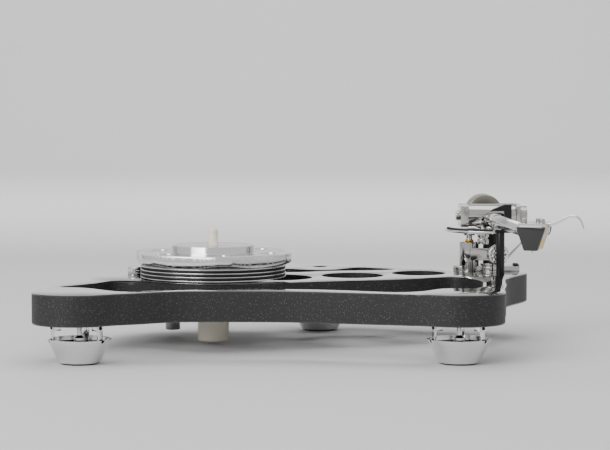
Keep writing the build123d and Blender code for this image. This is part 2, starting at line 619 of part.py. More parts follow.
with BuildPart() as arm_pillar:
    with BuildSketch(pivot_level(COLLAR_TOP)):
        Circle(PILLAR_RADIUS)
    extrude(amount=PILLAR_TOP - COLLAR_TOP)
    with BuildSketch(pivot_level(PILLAR_TOP)):
        Circle(STEM_RADIUS + RUNNING_FIT)
    extrude(amount=-(PILLAR_TOP - COLLAR_TOP - PILLAR_FLOOR), mode=Mode.SUBTRACT)
arm_pillar.part.label = "arm_pillar"
export_step(arm_pillar.part, "parts/arm_pillar.step")

with BuildPart() as tonearm_cable_socket:
    with BuildSketch(pivot_level(PLINTH_BOTTOM)):
        Circle(CABLE_SOCKET_RADIUS)
    extrude(amount=-CABLE_SOCKET_LENGTH)
    with BuildSketch(pivot_level(PLINTH_BOTTOM - CABLE_SOCKET_LENGTH)):
        Circle(CABLE_SOCKET_RADIUS - CABLE_SOCKET_WALL)
    extrude(amount=CABLE_SOCKET_LENGTH / 2, mode=Mode.SUBTRACT)
tonearm_cable_socket.part.label = "tonearm_cable_socket"
export_step(tonearm_cable_socket.part, "parts/tonearm_cable_socket.step")

TUBE_AT_CLIP = ARM_HEIGHT - 2.5             # height of the tube's axis in the clip
JAW_BOTTOM = TUBE_AT_CLIP - TUBE_ROOT_RADIUS - 1.6
JAW_TOP = TUBE_AT_CLIP + TUBE_ROOT_RADIUS + 2.6
JAW_THICKNESS = 2.2
CLIP_WIDTH = 6.0
CLIP_LEFT, CLIP_RIGHT = 7.3, 12.9           # upright part of the clip, from the arm pivot
CLIP_TOP = ARM_HEIGHT + 10.3
CLIP_LIP = -4.0                             # left end of the upper jaw
CLIP_LEDGE = 0.3                            # left end of the lower jaw

with BuildPart() as arm_rest_post:
    with BuildSketch(pivot_level(PLINTH_TOP)):
        with Locations((REST_X, REST_Y)):
            Circle(REST_POST_RADIUS)
    extrude(amount=JAW_BOTTOM - JAW_THICKNESS - PLINTH_TOP)
arm_rest_post.part.label = "arm_rest_post"
export_step(arm_rest_post.part, "parts/arm_rest_post.step")

REST_BACK = Plane((PIVOT[0], PIVOT[1] + REST_Y + CLIP_WIDTH / 2, 0), x_dir=(1, 0, 0), z_dir=(0, -1, 0))
with BuildPart() as arm_rest_clip:
    with BuildSketch(REST_BACK):
        Polygon((CLIP_RIGHT, JAW_BOTTOM - JAW_THICKNESS), (CLIP_RIGHT, CLIP_TOP), (CLIP_LEFT, CLIP_TOP),
                (CLIP_LIP + 2.5, JAW_TOP + JAW_THICKNESS - 0.8), (CLIP_LIP, JAW_TOP - 0.6),
                (CLIP_LIP + 3.5, JAW_TOP), (CLIP_LEFT, JAW_TOP), (CLIP_LEFT, JAW_BOTTOM),
                (CLIP_LEDGE, JAW_BOTTOM), (CLIP_LEDGE, JAW_BOTTOM - JAW_THICKNESS), align=None)
    extrude(amount=CLIP_WIDTH)
arm_rest_clip.part.label = "arm_rest_clip"
export_step(arm_rest_clip.part, "parts/arm_rest_clip.step")

# ---------------------------------------------------------------- arm lift
RING_HEIGHT = 1.6
RING_RADIUS = 3.4
KNOB_RADIUS = 4.7
KNOB_GAP = LIFT_TRAVEL + 0.5
BRACKET_BACK, BRACKET_FRONT = -7.2, -10.4   # bracket's faces, from the arm pivot
BRACKET_BOTTOM, BRACKET_TOP = PLINTH_TOP + 9.8, PLINTH_TOP + 19.4
BRACKET_RIGHT = LEVER_X + 4.6
LEVER_SHAFT_RADIUS = 2.0
LEVER_HUB = 2.0
LEVER_DIAL_THICKNESS = 3.6
LEVER_ROD_RADIUS = 0.9
LEVER_ROD_LENGTH = 21.0
LEVER_ROD_RISE = 47.0
DIAL_HOLE_COUNT = 10
DIAL_HOLE_RADIUS = 0.7
DIAL_CENTRE_RADIUS = 2.6

LIFT_ARC_FIRST, LIFT_ARC_LAST = 178.0, 268.0     # bearings of the lift arc's ends
ADJUST_X, ADJUST_Y = -7.4, -12.8            # knurled knob under the platform, from the arm pivot
ADJUST_RADIUS = 4.7
ADJUST_CORE = 3.9                           # waist between the knob's two knurled bands
ADJUST_HEIGHT = 9.2
ADJUST_PLATE = 5.0


def sector(first, last):
    """A wedge with its corner on the middle of the plane, between two bearings."""
    reach = 2 * LIFT_ARC_RADIUS
    middle = (first + last) / 2
    points = [(reach * cos(radians(a)), reach * sin(radians(a))) for a in (first, middle, last)]
    with BuildSketch() as wedge:
        Polygon((0, 0), *points, align=None)
    return wedge.sketch


with BuildPart() as lift_cylinder:
    with BuildSketch(pivot_level(PLINTH_TOP)):
        with Locations((CYLINDER_X, CYLINDER_Y)):
            Circle(CYLINDER_RADIUS)
    extrude(amount=CYLINDER_HEIGHT)
    chamfer(lift_cylinder.edges().group_by(Axis.Z)[-1], length=0.5)
    with BuildSketch(pivot_level(CYLINDER_TOP)):
        with Locations((CYLINDER_X, CYLINDER_Y)):
            Circle(LIFT_POST_RADIUS + RUNNING_FIT)
    extrude(amount=-CYLINDER_HEIGHT * 0.8, mode=Mode.SUBTRACT)
lift_cylinder.part.label = "lift_cylinder"
export_step(lift_cylinder.part, "parts/lift_cylinder.step")

with BuildPart() as lift_gold_ring:
    with BuildSketch(pivot_level(CYLINDER_TOP)):
        with Locations((CYLINDER_X, CYLINDER_Y)):
            Circle(RING_RADIUS)
            Circle(LIFT_POST_RADIUS + BODY_FIT, mode=Mode.SUBTRACT)
    extrude(amount=RING_HEIGHT)
lift_gold_ring.part.label = "lift_gold_ring"
export_step(lift_gold_ring.part, "parts/lift_gold_ring.step")

with BuildPart() as lift_bracket:
    with BuildSketch(pivot_level(BRACKET_BOTTOM)):
        Polygon((CYLINDER_X, BRACKET_FRONT), (BRACKET_RIGHT, BRACKET_FRONT),
                (BRACKET_RIGHT, BRACKET_BACK), (CYLINDER_X + 7, BRACKET_BACK),
                (CYLINDER_X + 7, CYLINDER_Y), (CYLINDER_X, CYLINDER_Y), align=None)
        with Locations((CYLINDER_X, CYLINDER_Y)):
            Circle(CYLINDER_RADIUS, mode=Mode.SUBTRACT)
    extrude(amount=BRACKET_TOP - BRACKET_BOTTOM)
    lever_wall = Plane((SPINDLE_X + PIVOT_X + LEVER_X, SPINDLE_Y + PIVOT_Y + BRACKET_BACK, LEVER_Z),
                       x_dir=(1, 0, 0), z_dir=(0, -1, 0))
    with BuildSketch(lever_wall):
        Circle(LEVER_SHAFT_RADIUS + RUNNING_FIT)
    extrude(amount=BRACKET_BACK - BRACKET_FRONT, mode=Mode.SUBTRACT)
lift_bracket.part.label = "lift_bracket"
export_step(lift_bracket.part, "parts/lift_bracket.step")

with BuildPart() as lift_platform:
    with BuildSketch(pivot_level(LIFT_PLATE_BOTTOM)):
        Circle(LIFT_ARC_RADIUS + LIFT_ARC_WIDTH / 2)
        Circle(LIFT_ARC_RADIUS - LIFT_ARC_WIDTH / 2, mode=Mode.SUBTRACT)
        add(sector(LIFT_ARC_FIRST, LIFT_ARC_LAST), mode=Mode.INTERSECT)
        Polygon((CYLINDER_X, CYLINDER_Y + LIFT_ARC_WIDTH), (CYLINDER_X, CYLINDER_Y - LIFT_ARC_WIDTH),
                (-LIFT_ARC_RADIUS, CYLINDER_Y - LIFT_ARC_WIDTH),
                (-LIFT_ARC_RADIUS, CYLINDER_Y + LIFT_ARC_WIDTH), align=None)
        with Locations((CYLINDER_X, CYLINDER_Y)):
            Circle(LIFT_ARC_WIDTH)
        with Locations((ADJUST_X, ADJUST_Y)):
            Circle(ADJUST_PLATE)
        Polygon((CYLINDER_X - 3, CYLINDER_Y - 3), (CYLINDER_X + 3, CYLINDER_Y),
                (ADJUST_X + 2, ADJUST_Y + 3), (ADJUST_X - 4, ADJUST_Y - 2), align=None)
    extrude(amount=LIFT_PLATE)
    with BuildSketch(pivot_level(CYLINDER_TOP - CYLINDER_HEIGHT * 0.8 + LIFT_TRAVEL + BODY_GAP)):
        with Locations((CYLINDER_X, CYLINDER_Y)):
            Circle(LIFT_POST_RADIUS)
    extrude(amount=LIFT_PLATE_BOTTOM - CYLINDER_TOP + CYLINDER_HEIGHT * 0.8 - LIFT_TRAVEL - BODY_GAP)
lift_platform.part.label = "lift_platform"
export_step(lift_platform.part, "parts/lift_platform.step")

with BuildPart() as lift_height_knob:
    with BuildSketch(pivot_level(LIFT_PLATE_BOTTOM)):
        with Locations((CYLINDER_X, CYLINDER_Y)):
            Circle(KNOB_RADIUS)
            Circle(LIFT_POST_RADIUS, mode=Mode.SUBTRACT)
    extrude(amount=-(LIFT_PLATE_BOTTOM - CYLINDER_TOP - RING_HEIGHT - KNOB_GAP))
lift_height_knob.part.label = "lift_height_knob"
export_step(lift_height_knob.part, "parts/lift_height_knob.step")

ADJUST_BOTTOM = LIFT_PLATE_BOTTOM - ADJUST_HEIGHT
WAIST_LOW, WAIST_HIGH = ADJUST_BOTTOM + ADJUST_HEIGHT * 0.4, ADJUST_BOTTOM + ADJUST_HEIGHT * 0.6
lift_adjust_knob = revolved([
    (0, ADJUST_BOTTOM), (ADJUST_RADIUS, ADJUST_BOTTOM), (ADJUST_RADIUS, WAIST_LOW),
    (ADJUST_CORE, WAIST_LOW), (ADJUST_CORE, WAIST_HIGH), (ADJUST_RADIUS, WAIST_HIGH),
    (ADJUST_RADIUS, LIFT_PLATE_BOTTOM), (0, LIFT_PLATE_BOTTOM)],
    (PIVOT[0] + ADJUST_X, PIVOT[1] + ADJUST_Y))
lift_adjust_knob.part.label = "lift_adjust_knob"
export_step(lift_adjust_knob.part, "parts/lift_adjust_knob.step")

with BuildPart() as lift_pad:
    with BuildSketch(pivot_level(LIFT_PLATE_BOTTOM + LIFT_PLATE)):
        Circle(LIFT_ARC_RADIUS + LIFT_ARC_WIDTH / 4)
        Circle(LIFT_ARC_RADIUS - LIFT_ARC_WIDTH / 4, mode=Mode.SUBTRACT)
        add(sector(LIFT_ARC_FIRST + 4, LIFT_ARC_LAST - 1), mode=Mode.INTERSECT)
    extrude(amount=LIFT_PAD)
lift_pad.part.label = "lift_pad"
export_step(lift_pad.part, "parts/lift_pad.step")

lever_axis = (SPINDLE_X + PIVOT_X + LEVER_X, LEVER_Z)
LEVER_FACE = SPINDLE_Y + PIVOT_Y + BRACKET_FRONT - BODY_GAP
with BuildPart() as lift_lever:
    with BuildSketch(Plane((lever_axis[0], LEVER_FACE, LEVER_Z), x_dir=(1, 0, 0), z_dir=(0, -1, 0))):
        Circle(LEVER_DIAL_RADIUS + 0.6)
    extrude(amount=LEVER_HUB)
    with BuildSketch(Plane((lever_axis[0], LEVER_FACE, LEVER_Z), x_dir=(1, 0, 0), z_dir=(0, 1, 0))):
        Circle(LEVER_SHAFT_RADIUS)
    extrude(amount=BODY_GAP + BRACKET_BACK - BRACKET_FRONT)
    rise = radians(LEVER_ROD_RISE)
    rod_dir = Vector(cos(rise), 0, sin(rise))
    rod_start = Vector(lever_axis[0] + 4.4, LEVER_FACE - LEVER_HUB / 2, LEVER_Z - 5.6)
    with BuildSketch(Plane(rod_start, z_dir=rod_dir)):
        Circle(LEVER_ROD_RADIUS)
    extrude(amount=LEVER_ROD_LENGTH)
lift_lever.part.label = "lift_lever"
export_step(lift_lever.part, "parts/lift_lever.step")

with BuildPart() as lift_lever_dial:
    with BuildSketch(Plane((lever_axis[0], LEVER_FACE - LEVER_HUB, LEVER_Z), x_dir=(1, 0, 0),
                           z_dir=(0, -1, 0))):
        Circle(LEVER_DIAL_RADIUS)
        Circle(DIAL_CENTRE_RADIUS, mode=Mode.SUBTRACT)
        with PolarLocations(LEVER_DIAL_RADIUS * 0.7, DIAL_HOLE_COUNT):
            Circle(DIAL_HOLE_RADIUS, mode=Mode.SUBTRACT)
    extrude(amount=LEVER_DIAL_THICKNESS)
    chamfer(lift_lever_dial.edges().group_by(Axis.Y)[0], length=0.3)
lift_lever_dial.part.label = "lift_lever_dial"
export_step(lift_lever_dial.part, "parts/lift_lever_dial.step")

# ---------------------------------------------------------------- yoke
BARREL_LEFT = -BARREL_LENGTH / 2
BARREL_RIGHT = BARREL_LENGTH / 2
CHEEK_LEFT = BARREL_LEFT - BODY_GAP - LEFT_CHEEK
CHEEK_RIGHT = BARREL_RIGHT + BODY_GAP + RIGHT_CHEEK
BACK_FACE = -BARREL_RADIUS - 1.2
ROD_SLOT = 2.2

with BuildPart() as arm_yoke:
    with BuildSketch(beside_arm(CHEEK_LEFT)):
        Rectangle(CHEEK_WIDTH, CHEEK_HEIGHT)
    extrude(amount=LEFT_CHEEK)
    with BuildSketch(beside_arm(CHEEK_RIGHT)):
        Rectangle(CHEEK_WIDTH, CHEEK_HEIGHT)
    extrude(amount=-RIGHT_CHEEK)
    fillet(arm_yoke.edges().filter_by(Axis((0, 0, 0), tuple(ARM.y_dir))), radius=2.5)
    with BuildSketch(arm_level(YOKE_FOOT_TOP)):
        Polygon((BACK_FACE, CHEEK_LEFT), (BACK_FACE, CHEEK_RIGHT),
                (BACK_FACE - YOKE_BACK, CHEEK_RIGHT), (BACK_FACE - YOKE_BACK, CHEEK_LEFT), align=None)
    extrude(amount=CHEEK_HEIGHT)
    with BuildSketch(arm_level(ARM_HEIGHT - CHEEK_HEIGHT / 2)):
        Polygon((BACK_FACE, CHEEK_LEFT), (BACK_FACE, CHEEK_LEFT + LEFT_CHEEK),
                (-CHEEK_WIDTH / 4, CHEEK_LEFT + LEFT_CHEEK), (-CHEEK_WIDTH / 4, CHEEK_LEFT), align=None)
        Polygon((BACK_FACE, CHEEK_RIGHT), (BACK_FACE, CHEEK_RIGHT - RIGHT_CHEEK),
                (-CHEEK_WIDTH / 4, CHEEK_RIGHT - RIGHT_CHEEK), (-CHEEK_WIDTH / 4, CHEEK_RIGHT),
                align=None)
    extrude(amount=CHEEK_HEIGHT)
    with BuildSketch(arm_level(YOKE_FOOT_BOTTOM)):
        Circle(PILLAR_RADIUS)
        Polygon((0, -PILLAR_RADIUS), (0, PILLAR_RADIUS), (BACK_FACE - YOKE_BACK, PILLAR_RADIUS),
                (BACK_FACE - YOKE_BACK, -PILLAR_RADIUS), align=None)
    extrude(amount=YOKE_FOOT)
    with BuildSketch(arm_level(YOKE_FOOT_BOTTOM)):
        Circle(STEM_RADIUS)
    extrude(amount=-(PILLAR_TOP - COLLAR_TOP - PILLAR_FLOOR - BODY_GAP))
    with BuildSketch(across_arm(BACK_FACE)):
        SlotOverall(2 * (ROD_RADIUS + ROD_SLOT), 2 * ROD_RADIUS + BODY_GAP * 2, rotation=90)
    extrude(amount=-YOKE_BACK, mode=Mode.SUBTRACT)
    with BuildSketch(beside_arm(CHEEK_LEFT)):
        Circle(PIVOT_PIN_RADIUS)
    extrude(amount=LEFT_CHEEK, mode=Mode.SUBTRACT)
    with BuildSketch(beside_arm(CHEEK_RIGHT)):
        Circle(PIVOT_PIN_RADIUS)
    extrude(amount=-RIGHT_CHEEK, mode=Mode.SUBTRACT)
arm_yoke.part.label = "arm_yoke"
export_step(arm_yoke.part, "parts/arm_yoke.step")

PIN_REACH = 5.0
DIAL_STUB = 3.0
with BuildPart() as pivot_pins:
    with BuildSketch(beside_arm(CHEEK_LEFT)):
        Circle(PIVOT_PIN_RADIUS)
    extrude(amount=LEFT_CHEEK + BODY_GAP + PIN_REACH)
    with BuildSketch(beside_arm(CHEEK_RIGHT + DIAL_STUB)):
        Circle(PIVOT_PIN_RADIUS)
    extrude(amount=-(RIGHT_CHEEK + BODY_GAP + PIN_REACH + DIAL_STUB))
pivot_pins.part.label = "pivot_pins"
export_step(pivot_pins.part, "parts/pivot_pins.step")

CAP_LENGTH = 3.4
with BuildPart() as pivot_cap:
    with BuildSketch(beside_arm(CHEEK_LEFT)):
        Circle(CAP_RADIUS)
    extrude(amount=-CAP_LENGTH)
    fillet(pivot_cap.faces().sort_by(Axis.X)[0].edges(), radius=0.8)
pivot_cap.part.label = "pivot_cap"
export_step(pivot_cap.part, "parts/pivot_cap.step")

DIAL_KNURLS = 24
with BuildPart() as tracking_force_dial:
    with BuildSketch(beside_arm(CHEEK_RIGHT + BODY_GAP)):
        Circle(DIAL_RADIUS)
        with PolarLocations(DIAL_RADIUS, DIAL_KNURLS):
            Circle(0.35, mode=Mode.SUBTRACT)
    extrude(amount=DIAL_THICKNESS)
    with BuildSketch(beside_arm(CHEEK_RIGHT + BODY_GAP)):
        Circle(PIVOT_PIN_RADIUS + RUNNING_FIT)
    extrude(amount=DIAL_STUB, mode=Mode.SUBTRACT)
tracking_force_dial.part.label = "tracking_force_dial"
export_step(tracking_force_dial.part, "parts/tracking_force_dial.step")

# ---------------------------------------------------------------- arm tube and counterweight
TUBE_START = BARREL_RADIUS - 3.0
ROD_START = -BARREL_RADIUS + 3.0

with BuildPart() as arm_barrel:
    with BuildSketch(beside_arm(BARREL_LEFT)):
        Circle(BARREL_RADIUS)
    extrude(amount=BARREL_LENGTH)
    for side, inward in ((BARREL_LEFT, 1), (BARREL_RIGHT, -1)):
        with BuildSketch(beside_arm(side)):
            Circle(PIVOT_PIN_RADIUS + RUNNING_FIT)
        extrude(amount=inward * (PIN_REACH + BODY_GAP), mode=Mode.SUBTRACT)
    with BuildSketch(across_arm(TUBE_START)):
        with Locations((0, -TUBE_DROP)):
            Circle(TUBE_ROOT_RADIUS)
    extrude(amount=BARREL_RADIUS, mode=Mode.SUBTRACT)
    with BuildSketch(across_arm(ROD_START)):
        Circle(ROD_RADIUS)
    extrude(amount=-BARREL_RADIUS, mode=Mode.SUBTRACT)
arm_barrel.part.label = "arm_barrel"
export_step(arm_barrel.part, "parts/arm_barrel.step")

TUBE_STRAIGHT = BARREL_RADIUS + 1.0
with BuildPart() as arm_tube:
    with BuildSketch(across_arm(TUBE_START)):
        with Locations((0, -TUBE_DROP)):
            Circle(TUBE_ROOT_RADIUS)
    extrude(amount=TUBE_STRAIGHT - TUBE_START)
    with BuildSketch(across_arm(TUBE_STRAIGHT)):
        with Locations((0, -TUBE_DROP)):
            Circle(TUBE_ROOT_RADIUS)
    with BuildSketch(across_arm(TUBE_END)):
        with Locations((0, TUBE_RISE)):
            Circle(TUBE_TIP_RADIUS)
    loft()
arm_tube.part.label = "arm_tube"
export_step(arm_tube.part, "parts/arm_tube.step")

with BuildPart() as counterweight_rod:
    with BuildSketch(across_arm(ROD_START)):
        Circle(ROD_RADIUS)
    extrude(amount=-ROD_LENGTH)
counterweight_rod.part.label = "counterweight_rod"
export_step(counterweight_rod.part, "parts/counterweight_rod.step")

with BuildPart() as counterweight:
    with BuildSketch(across_arm(-WEIGHT_DISTANCE + WEIGHT_LENGTH / 2)):
        Circle(WEIGHT_RADIUS)
        Circle(ROD_RADIUS + RUNNING_FIT, mode=Mode.SUBTRACT)
    extrude(amount=-WEIGHT_LENGTH)
    chamfer(counterweight.edges().filter_by(GeomType.CIRCLE).filter_by(
        lambda e: e.radius > WEIGHT_RADIUS - 1), length=0.6)
counterweight.part.label = "counterweight"
export_step(counterweight.part, "parts/counterweight.step")

# ---------------------------------------------------------------- headshell and cartridge
SHELL_FRONT = 6.0                           # ahead of the stylus
SHELL_BACK = SHELL_FRONT - HEADSHELL_LENGTH
NECK_RADIUS = TUBE_TIP_RADIUS + 1.6
NECK_LAP, NECK_LENGTH = 6.0, 13.0
BOLT_SPREAD = 12.7                          # standard spacing of the cartridge bolts
BOLT_RADIUS = 1.9
BOLT_HEAD = 3.0
CARTRIDGE_FRONT = 5.0
CARTRIDGE_BACK = CARTRIDGE_FRONT - CARTRIDGE_DEPTH
PIN_LENGTH = 2.5
LEAD_RADIUS = 0.45

with BuildPart() as headshell:
    with BuildSketch(headshell_level(CARTRIDGE_TOP)):
        Polygon((SHELL_FRONT, -HEADSHELL_WIDTH / 2 + 2), (SHELL_FRONT, HEADSHELL_WIDTH / 2 - 2),
                (SHELL_FRONT - 3, HEADSHELL_WIDTH / 2), (SHELL_BACK + 6, HEADSHELL_WIDTH / 2),
                (SHELL_BACK, NECK_RADIUS), (SHELL_BACK, -NECK_RADIUS),
                (SHELL_BACK + 6, -HEADSHELL_WIDTH / 2), (SHELL_FRONT - 3, -HEADSHELL_WIDTH / 2),
                align=None)
    extrude(amount=HEADSHELL_THICKNESS)
    with BuildSketch(across_arm(TUBE_END - NECK_LAP)):
        with Locations((0, TUBE_RISE)):
            Circle(NECK_RADIUS)
    extrude(amount=NECK_LENGTH)
    with BuildSketch(across_arm(TUBE_STRAIGHT)):
        with Locations((0, -TUBE_DROP)):
            Circle(TUBE_ROOT_RADIUS)
    with BuildSketch(across_arm(TUBE_END)):
        with Locations((0, TUBE_RISE)):
            Circle(TUBE_TIP_RADIUS)
    loft(mode=Mode.SUBTRACT)
headshell.part.label = "headshell"
export_step(headshell.part, "parts/headshell.step")

with BuildPart() as headshell_bolts:
    with BuildSketch(headshell_level(HEADSHELL_TOP)):
        with Locations((-2, -BOLT_SPREAD / 2), (-2, BOLT_SPREAD / 2), (-10, 1.5)):
            Circle(BOLT_RADIUS)
    extrude(amount=BOLT_HEAD)
headshell_bolts.part.label = "headshell_bolts"
export_step(headshell_bolts.part, "parts/headshell_bolts.step")


def cartridge_block(front, back, shrink):
    """A block under the headshell whose sides slope in towards the record."""
    bearing = radians(ARM_PARKED - HEADSHELL_OFFSET)
    ahead = Vector(sin(bearing), -cos(bearing), 0)
    middle = headshell_level(CARTRIDGE_TOP).from_local_coords((front, 0, 0))
    half_top, half_low = CARTRIDGE_TOP_WIDTH / 2 - shrink, CARTRIDGE_LOW_WIDTH / 2 - shrink
    with BuildPart() as block:
        with BuildSketch(Plane(middle, x_dir=(cos(bearing), sin(bearing), 0), z_dir=ahead)):
            Polygon((-half_top, 0), (half_top, 0), (half_top - 0.6, -2.2),
                    (half_low, -CARTRIDGE_HEIGHT + shrink), (-half_low, -CARTRIDGE_HEIGHT + shrink),
                    (-half_top + 0.6, -2.2), align=None)
        extrude(amount=back - front)
    return block


COVER_BACK = CARTRIDGE_FRONT - COVER_DEPTH
cartridge_cover = cartridge_block(CARTRIDGE_FRONT, COVER_BACK, 0)
cartridge_cover.part.label = "cartridge_cover"
export_step(cartridge_cover.part, "parts/cartridge_cover.step")

YELLOW_HEIGHT = 7.0
with BuildPart() as cartridge_body:
    add(cartridge_block(COVER_BACK, CARTRIDGE_BACK, 0.5).part)
    with BuildSketch(headshell_level(CARTRIDGE_BOTTOM)):
        Rectangle(3 * CARTRIDGE_DEPTH, 2 * CARTRIDGE_TOP_WIDTH)
    extrude(amount=YELLOW_HEIGHT, mode=Mode.SUBTRACT)
cartridge_body.part.label = "cartridge_body"
export_step(cartridge_body.part, "parts/cartridge_body.step")

with BuildPart() as stylus_holder:
    add(cartridge_block(COVER_BACK, CARTRIDGE_BACK, 0.5).part)
    with BuildSketch(headshell_level(CARTRIDGE_BOTTOM + YELLOW_HEIGHT)):
        Rectangle(3 * CARTRIDGE_DEPTH, 2 * CARTRIDGE_TOP_WIDTH)
    extrude(amount=CARTRIDGE_HEIGHT, mode=Mode.SUBTRACT)
stylus_holder.part.label = "stylus_holder"
export_step(stylus_holder.part, "parts/stylus_holder.step")

with BuildPart() as stylus:
    tip = headshell_level(STYLUS_TIP).from_local_coords((0, 0, 0))
    with BuildSketch(Plane(tip, z_dir=(0, 0, 1))):
        Circle(0.15)
    with BuildSketch(Plane(tip + Vector(0, 0, CARTRIDGE_BOTTOM + 0.5 - STYLUS_TIP), z_dir=(0, 0, 1))):
        Circle(0.6)
    loft()
stylus.part.label = "stylus"
export_step(stylus.part, "parts/stylus.step")

FINGER_ROOT = HEADSHELL_WIDTH / 2
FINGER_REACH = 25.5
FINGER_WIDTH = 3.4
with BuildPart() as finger_lift:
    bearing = radians(ARM_PARKED - HEADSHELL_OFFSET)
    ahead = Vector(sin(bearing), -cos(bearing), 0)
    root = headshell_level(HEADSHELL_TOP - HEADSHELL_THICKNESS / 2).from_local_coords((-3, 0, 0))
    with BuildSketch(Plane(root, x_dir=(cos(bearing), sin(bearing), 0), z_dir=ahead)) as finger:
        with BuildLine():
            Spline((FINGER_ROOT, -1.0), (FINGER_ROOT + 7, 0.8), (FINGER_ROOT + 17.5, 5.6),
                   (FINGER_ROOT + FINGER_REACH, -2.2))
            Spline((FINGER_ROOT + FINGER_REACH, -2.2), (FINGER_ROOT + 17.5, 7.2),
                   (FINGER_ROOT + 6.5, 2.8), (FINGER_ROOT, 1.2))
            Line((FINGER_ROOT, 1.2), (FINGER_ROOT, -1.0))
        make_face()
    extrude(amount=-FINGER_WIDTH)
finger_lift.part.label = "finger_lift"
export_step(finger_lift.part, "parts/finger_lift.step")

LEAD_COLOURS = ("green", "red", "white", "blue")
LEAD_PITCH = 2.2
LEAD_DROP = 5.5                             # below the headshell, at the cartridge pins
LEAD_SWING = 5.2                            # how far each lead bows out behind the cartridge
for i, colour in enumerate(LEAD_COLOURS):
    side = 1.0 + i * LEAD_PITCH
    under = headshell_level(CARTRIDGE_TOP)
    pin = under.from_local_coords((CARTRIDGE_BACK, side, -LEAD_DROP))
    bow = under.from_local_coords((CARTRIDGE_BACK - LEAD_SWING, side + 0.4, -LEAD_DROP * 0.66))
    entry = under.from_local_coords((CARTRIDGE_BACK - LEAD_SWING, side + 0.8, -LEAD_RADIUS * 0.3))
    with BuildPart() as lead:
        with BuildLine() as route:
            ThreePointArc(pin, bow, entry)
        with BuildSketch(Plane(pin, z_dir=route.line % 0)):
            Circle(LEAD_RADIUS)
        sweep()
    lead.part.label = f"cartridge_lead_{colour}"
    export_step(lead.part, f"parts/cartridge_lead_{colour}.step")
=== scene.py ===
"""Looks for the open-plinth record player: finishes, fine detail, studio and camera.

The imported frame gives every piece's place. Each sub-assembly below is a class that takes its
CAD nodes, makes smooth, edge-rounded meshes of them and dresses them in their finishes. The
screw heads at the feet are set round their rings with Geometry Nodes.
"""

from __future__ import annotations

import json
import logging
import math
from dataclasses import dataclass, field
from enum import Enum

import bmesh
import bpy
from mathutils import Matrix, Vector

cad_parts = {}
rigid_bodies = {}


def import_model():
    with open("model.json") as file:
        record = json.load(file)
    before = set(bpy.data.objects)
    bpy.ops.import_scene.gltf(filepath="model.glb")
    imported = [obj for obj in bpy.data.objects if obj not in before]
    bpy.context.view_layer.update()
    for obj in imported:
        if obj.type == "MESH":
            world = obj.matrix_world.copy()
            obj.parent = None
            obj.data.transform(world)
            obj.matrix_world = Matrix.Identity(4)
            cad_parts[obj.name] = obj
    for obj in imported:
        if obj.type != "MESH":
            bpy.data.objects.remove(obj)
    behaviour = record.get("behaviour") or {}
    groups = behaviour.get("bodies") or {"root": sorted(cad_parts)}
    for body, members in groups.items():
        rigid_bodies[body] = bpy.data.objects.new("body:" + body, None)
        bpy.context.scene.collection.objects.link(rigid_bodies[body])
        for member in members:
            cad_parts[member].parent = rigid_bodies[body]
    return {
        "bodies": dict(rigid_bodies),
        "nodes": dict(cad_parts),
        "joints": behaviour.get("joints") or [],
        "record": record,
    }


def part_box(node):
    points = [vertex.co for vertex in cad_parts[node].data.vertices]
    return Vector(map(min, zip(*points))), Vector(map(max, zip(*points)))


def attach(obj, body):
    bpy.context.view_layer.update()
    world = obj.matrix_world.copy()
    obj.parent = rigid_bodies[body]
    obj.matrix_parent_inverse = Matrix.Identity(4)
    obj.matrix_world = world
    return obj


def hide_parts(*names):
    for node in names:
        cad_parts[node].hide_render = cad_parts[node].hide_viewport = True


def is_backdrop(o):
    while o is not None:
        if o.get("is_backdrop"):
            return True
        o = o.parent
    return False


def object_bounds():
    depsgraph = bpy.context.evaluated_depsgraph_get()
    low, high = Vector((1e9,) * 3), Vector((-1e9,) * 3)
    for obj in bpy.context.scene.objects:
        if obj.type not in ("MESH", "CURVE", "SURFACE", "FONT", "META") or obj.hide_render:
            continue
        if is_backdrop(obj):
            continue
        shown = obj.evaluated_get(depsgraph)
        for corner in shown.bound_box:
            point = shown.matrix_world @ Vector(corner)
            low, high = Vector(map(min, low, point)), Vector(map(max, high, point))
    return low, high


LOG = logging.getLogger("record_player")
MM = 0.001
WAVE_LENGTH = 0.314  # a wave texture of scale 1 repeats after this length
MERGE_MM = 0.002  # loose corners nearer than this are one corner


class Turned(Enum):
    """How a piece was finished, which sets the direction of its fine marks."""

    PLAIN = "plain"
    LATHE = "lathe"
    BRUSHED = "brushed"


def linear(hex_colour: str) -> tuple[float, float, float, float]:
    """Turn an sRGB hex colour into linear light.

    Args:
        hex_colour: six hex digits with a leading hash.

    Returns:
        The colour as linear red, green, blue and an alpha of one.
    """
    parts = [int(hex_colour[i : i + 2], 16) / 255.0 for i in (1, 3, 5)]
    low = [p / 12.92 if p <= 0.04045 else ((p + 0.055) / 1.055) ** 2.4 for p in parts]
    return (low[0], low[1], low[2], 1.0)


def add_node(
    tree: bpy.types.NodeTree,
    kind: str,
    settings: dict | None = None,
    links: dict | None = None,
) -> bpy.types.Node:
    """Add one node with its settings and its incoming links.

    Args:
        tree: the tree that gets the node.
        kind: the node's type name.
        settings: attribute names, or input names or numbers, and their values.
        links: input names or numbers, and the output socket that feeds each.

    Returns:
        The new node.
    """
    node = tree.nodes.new(kind)
    for key, value in (settings or {}).items():
        if isinstance(key, int) or key in node.inputs:
            node.inputs[key].default_value = value
        else:
            setattr(node, key, value)
    for key, socket in (links or {}).items():
        tree.links.new(socket, node.inputs[key])
    return node


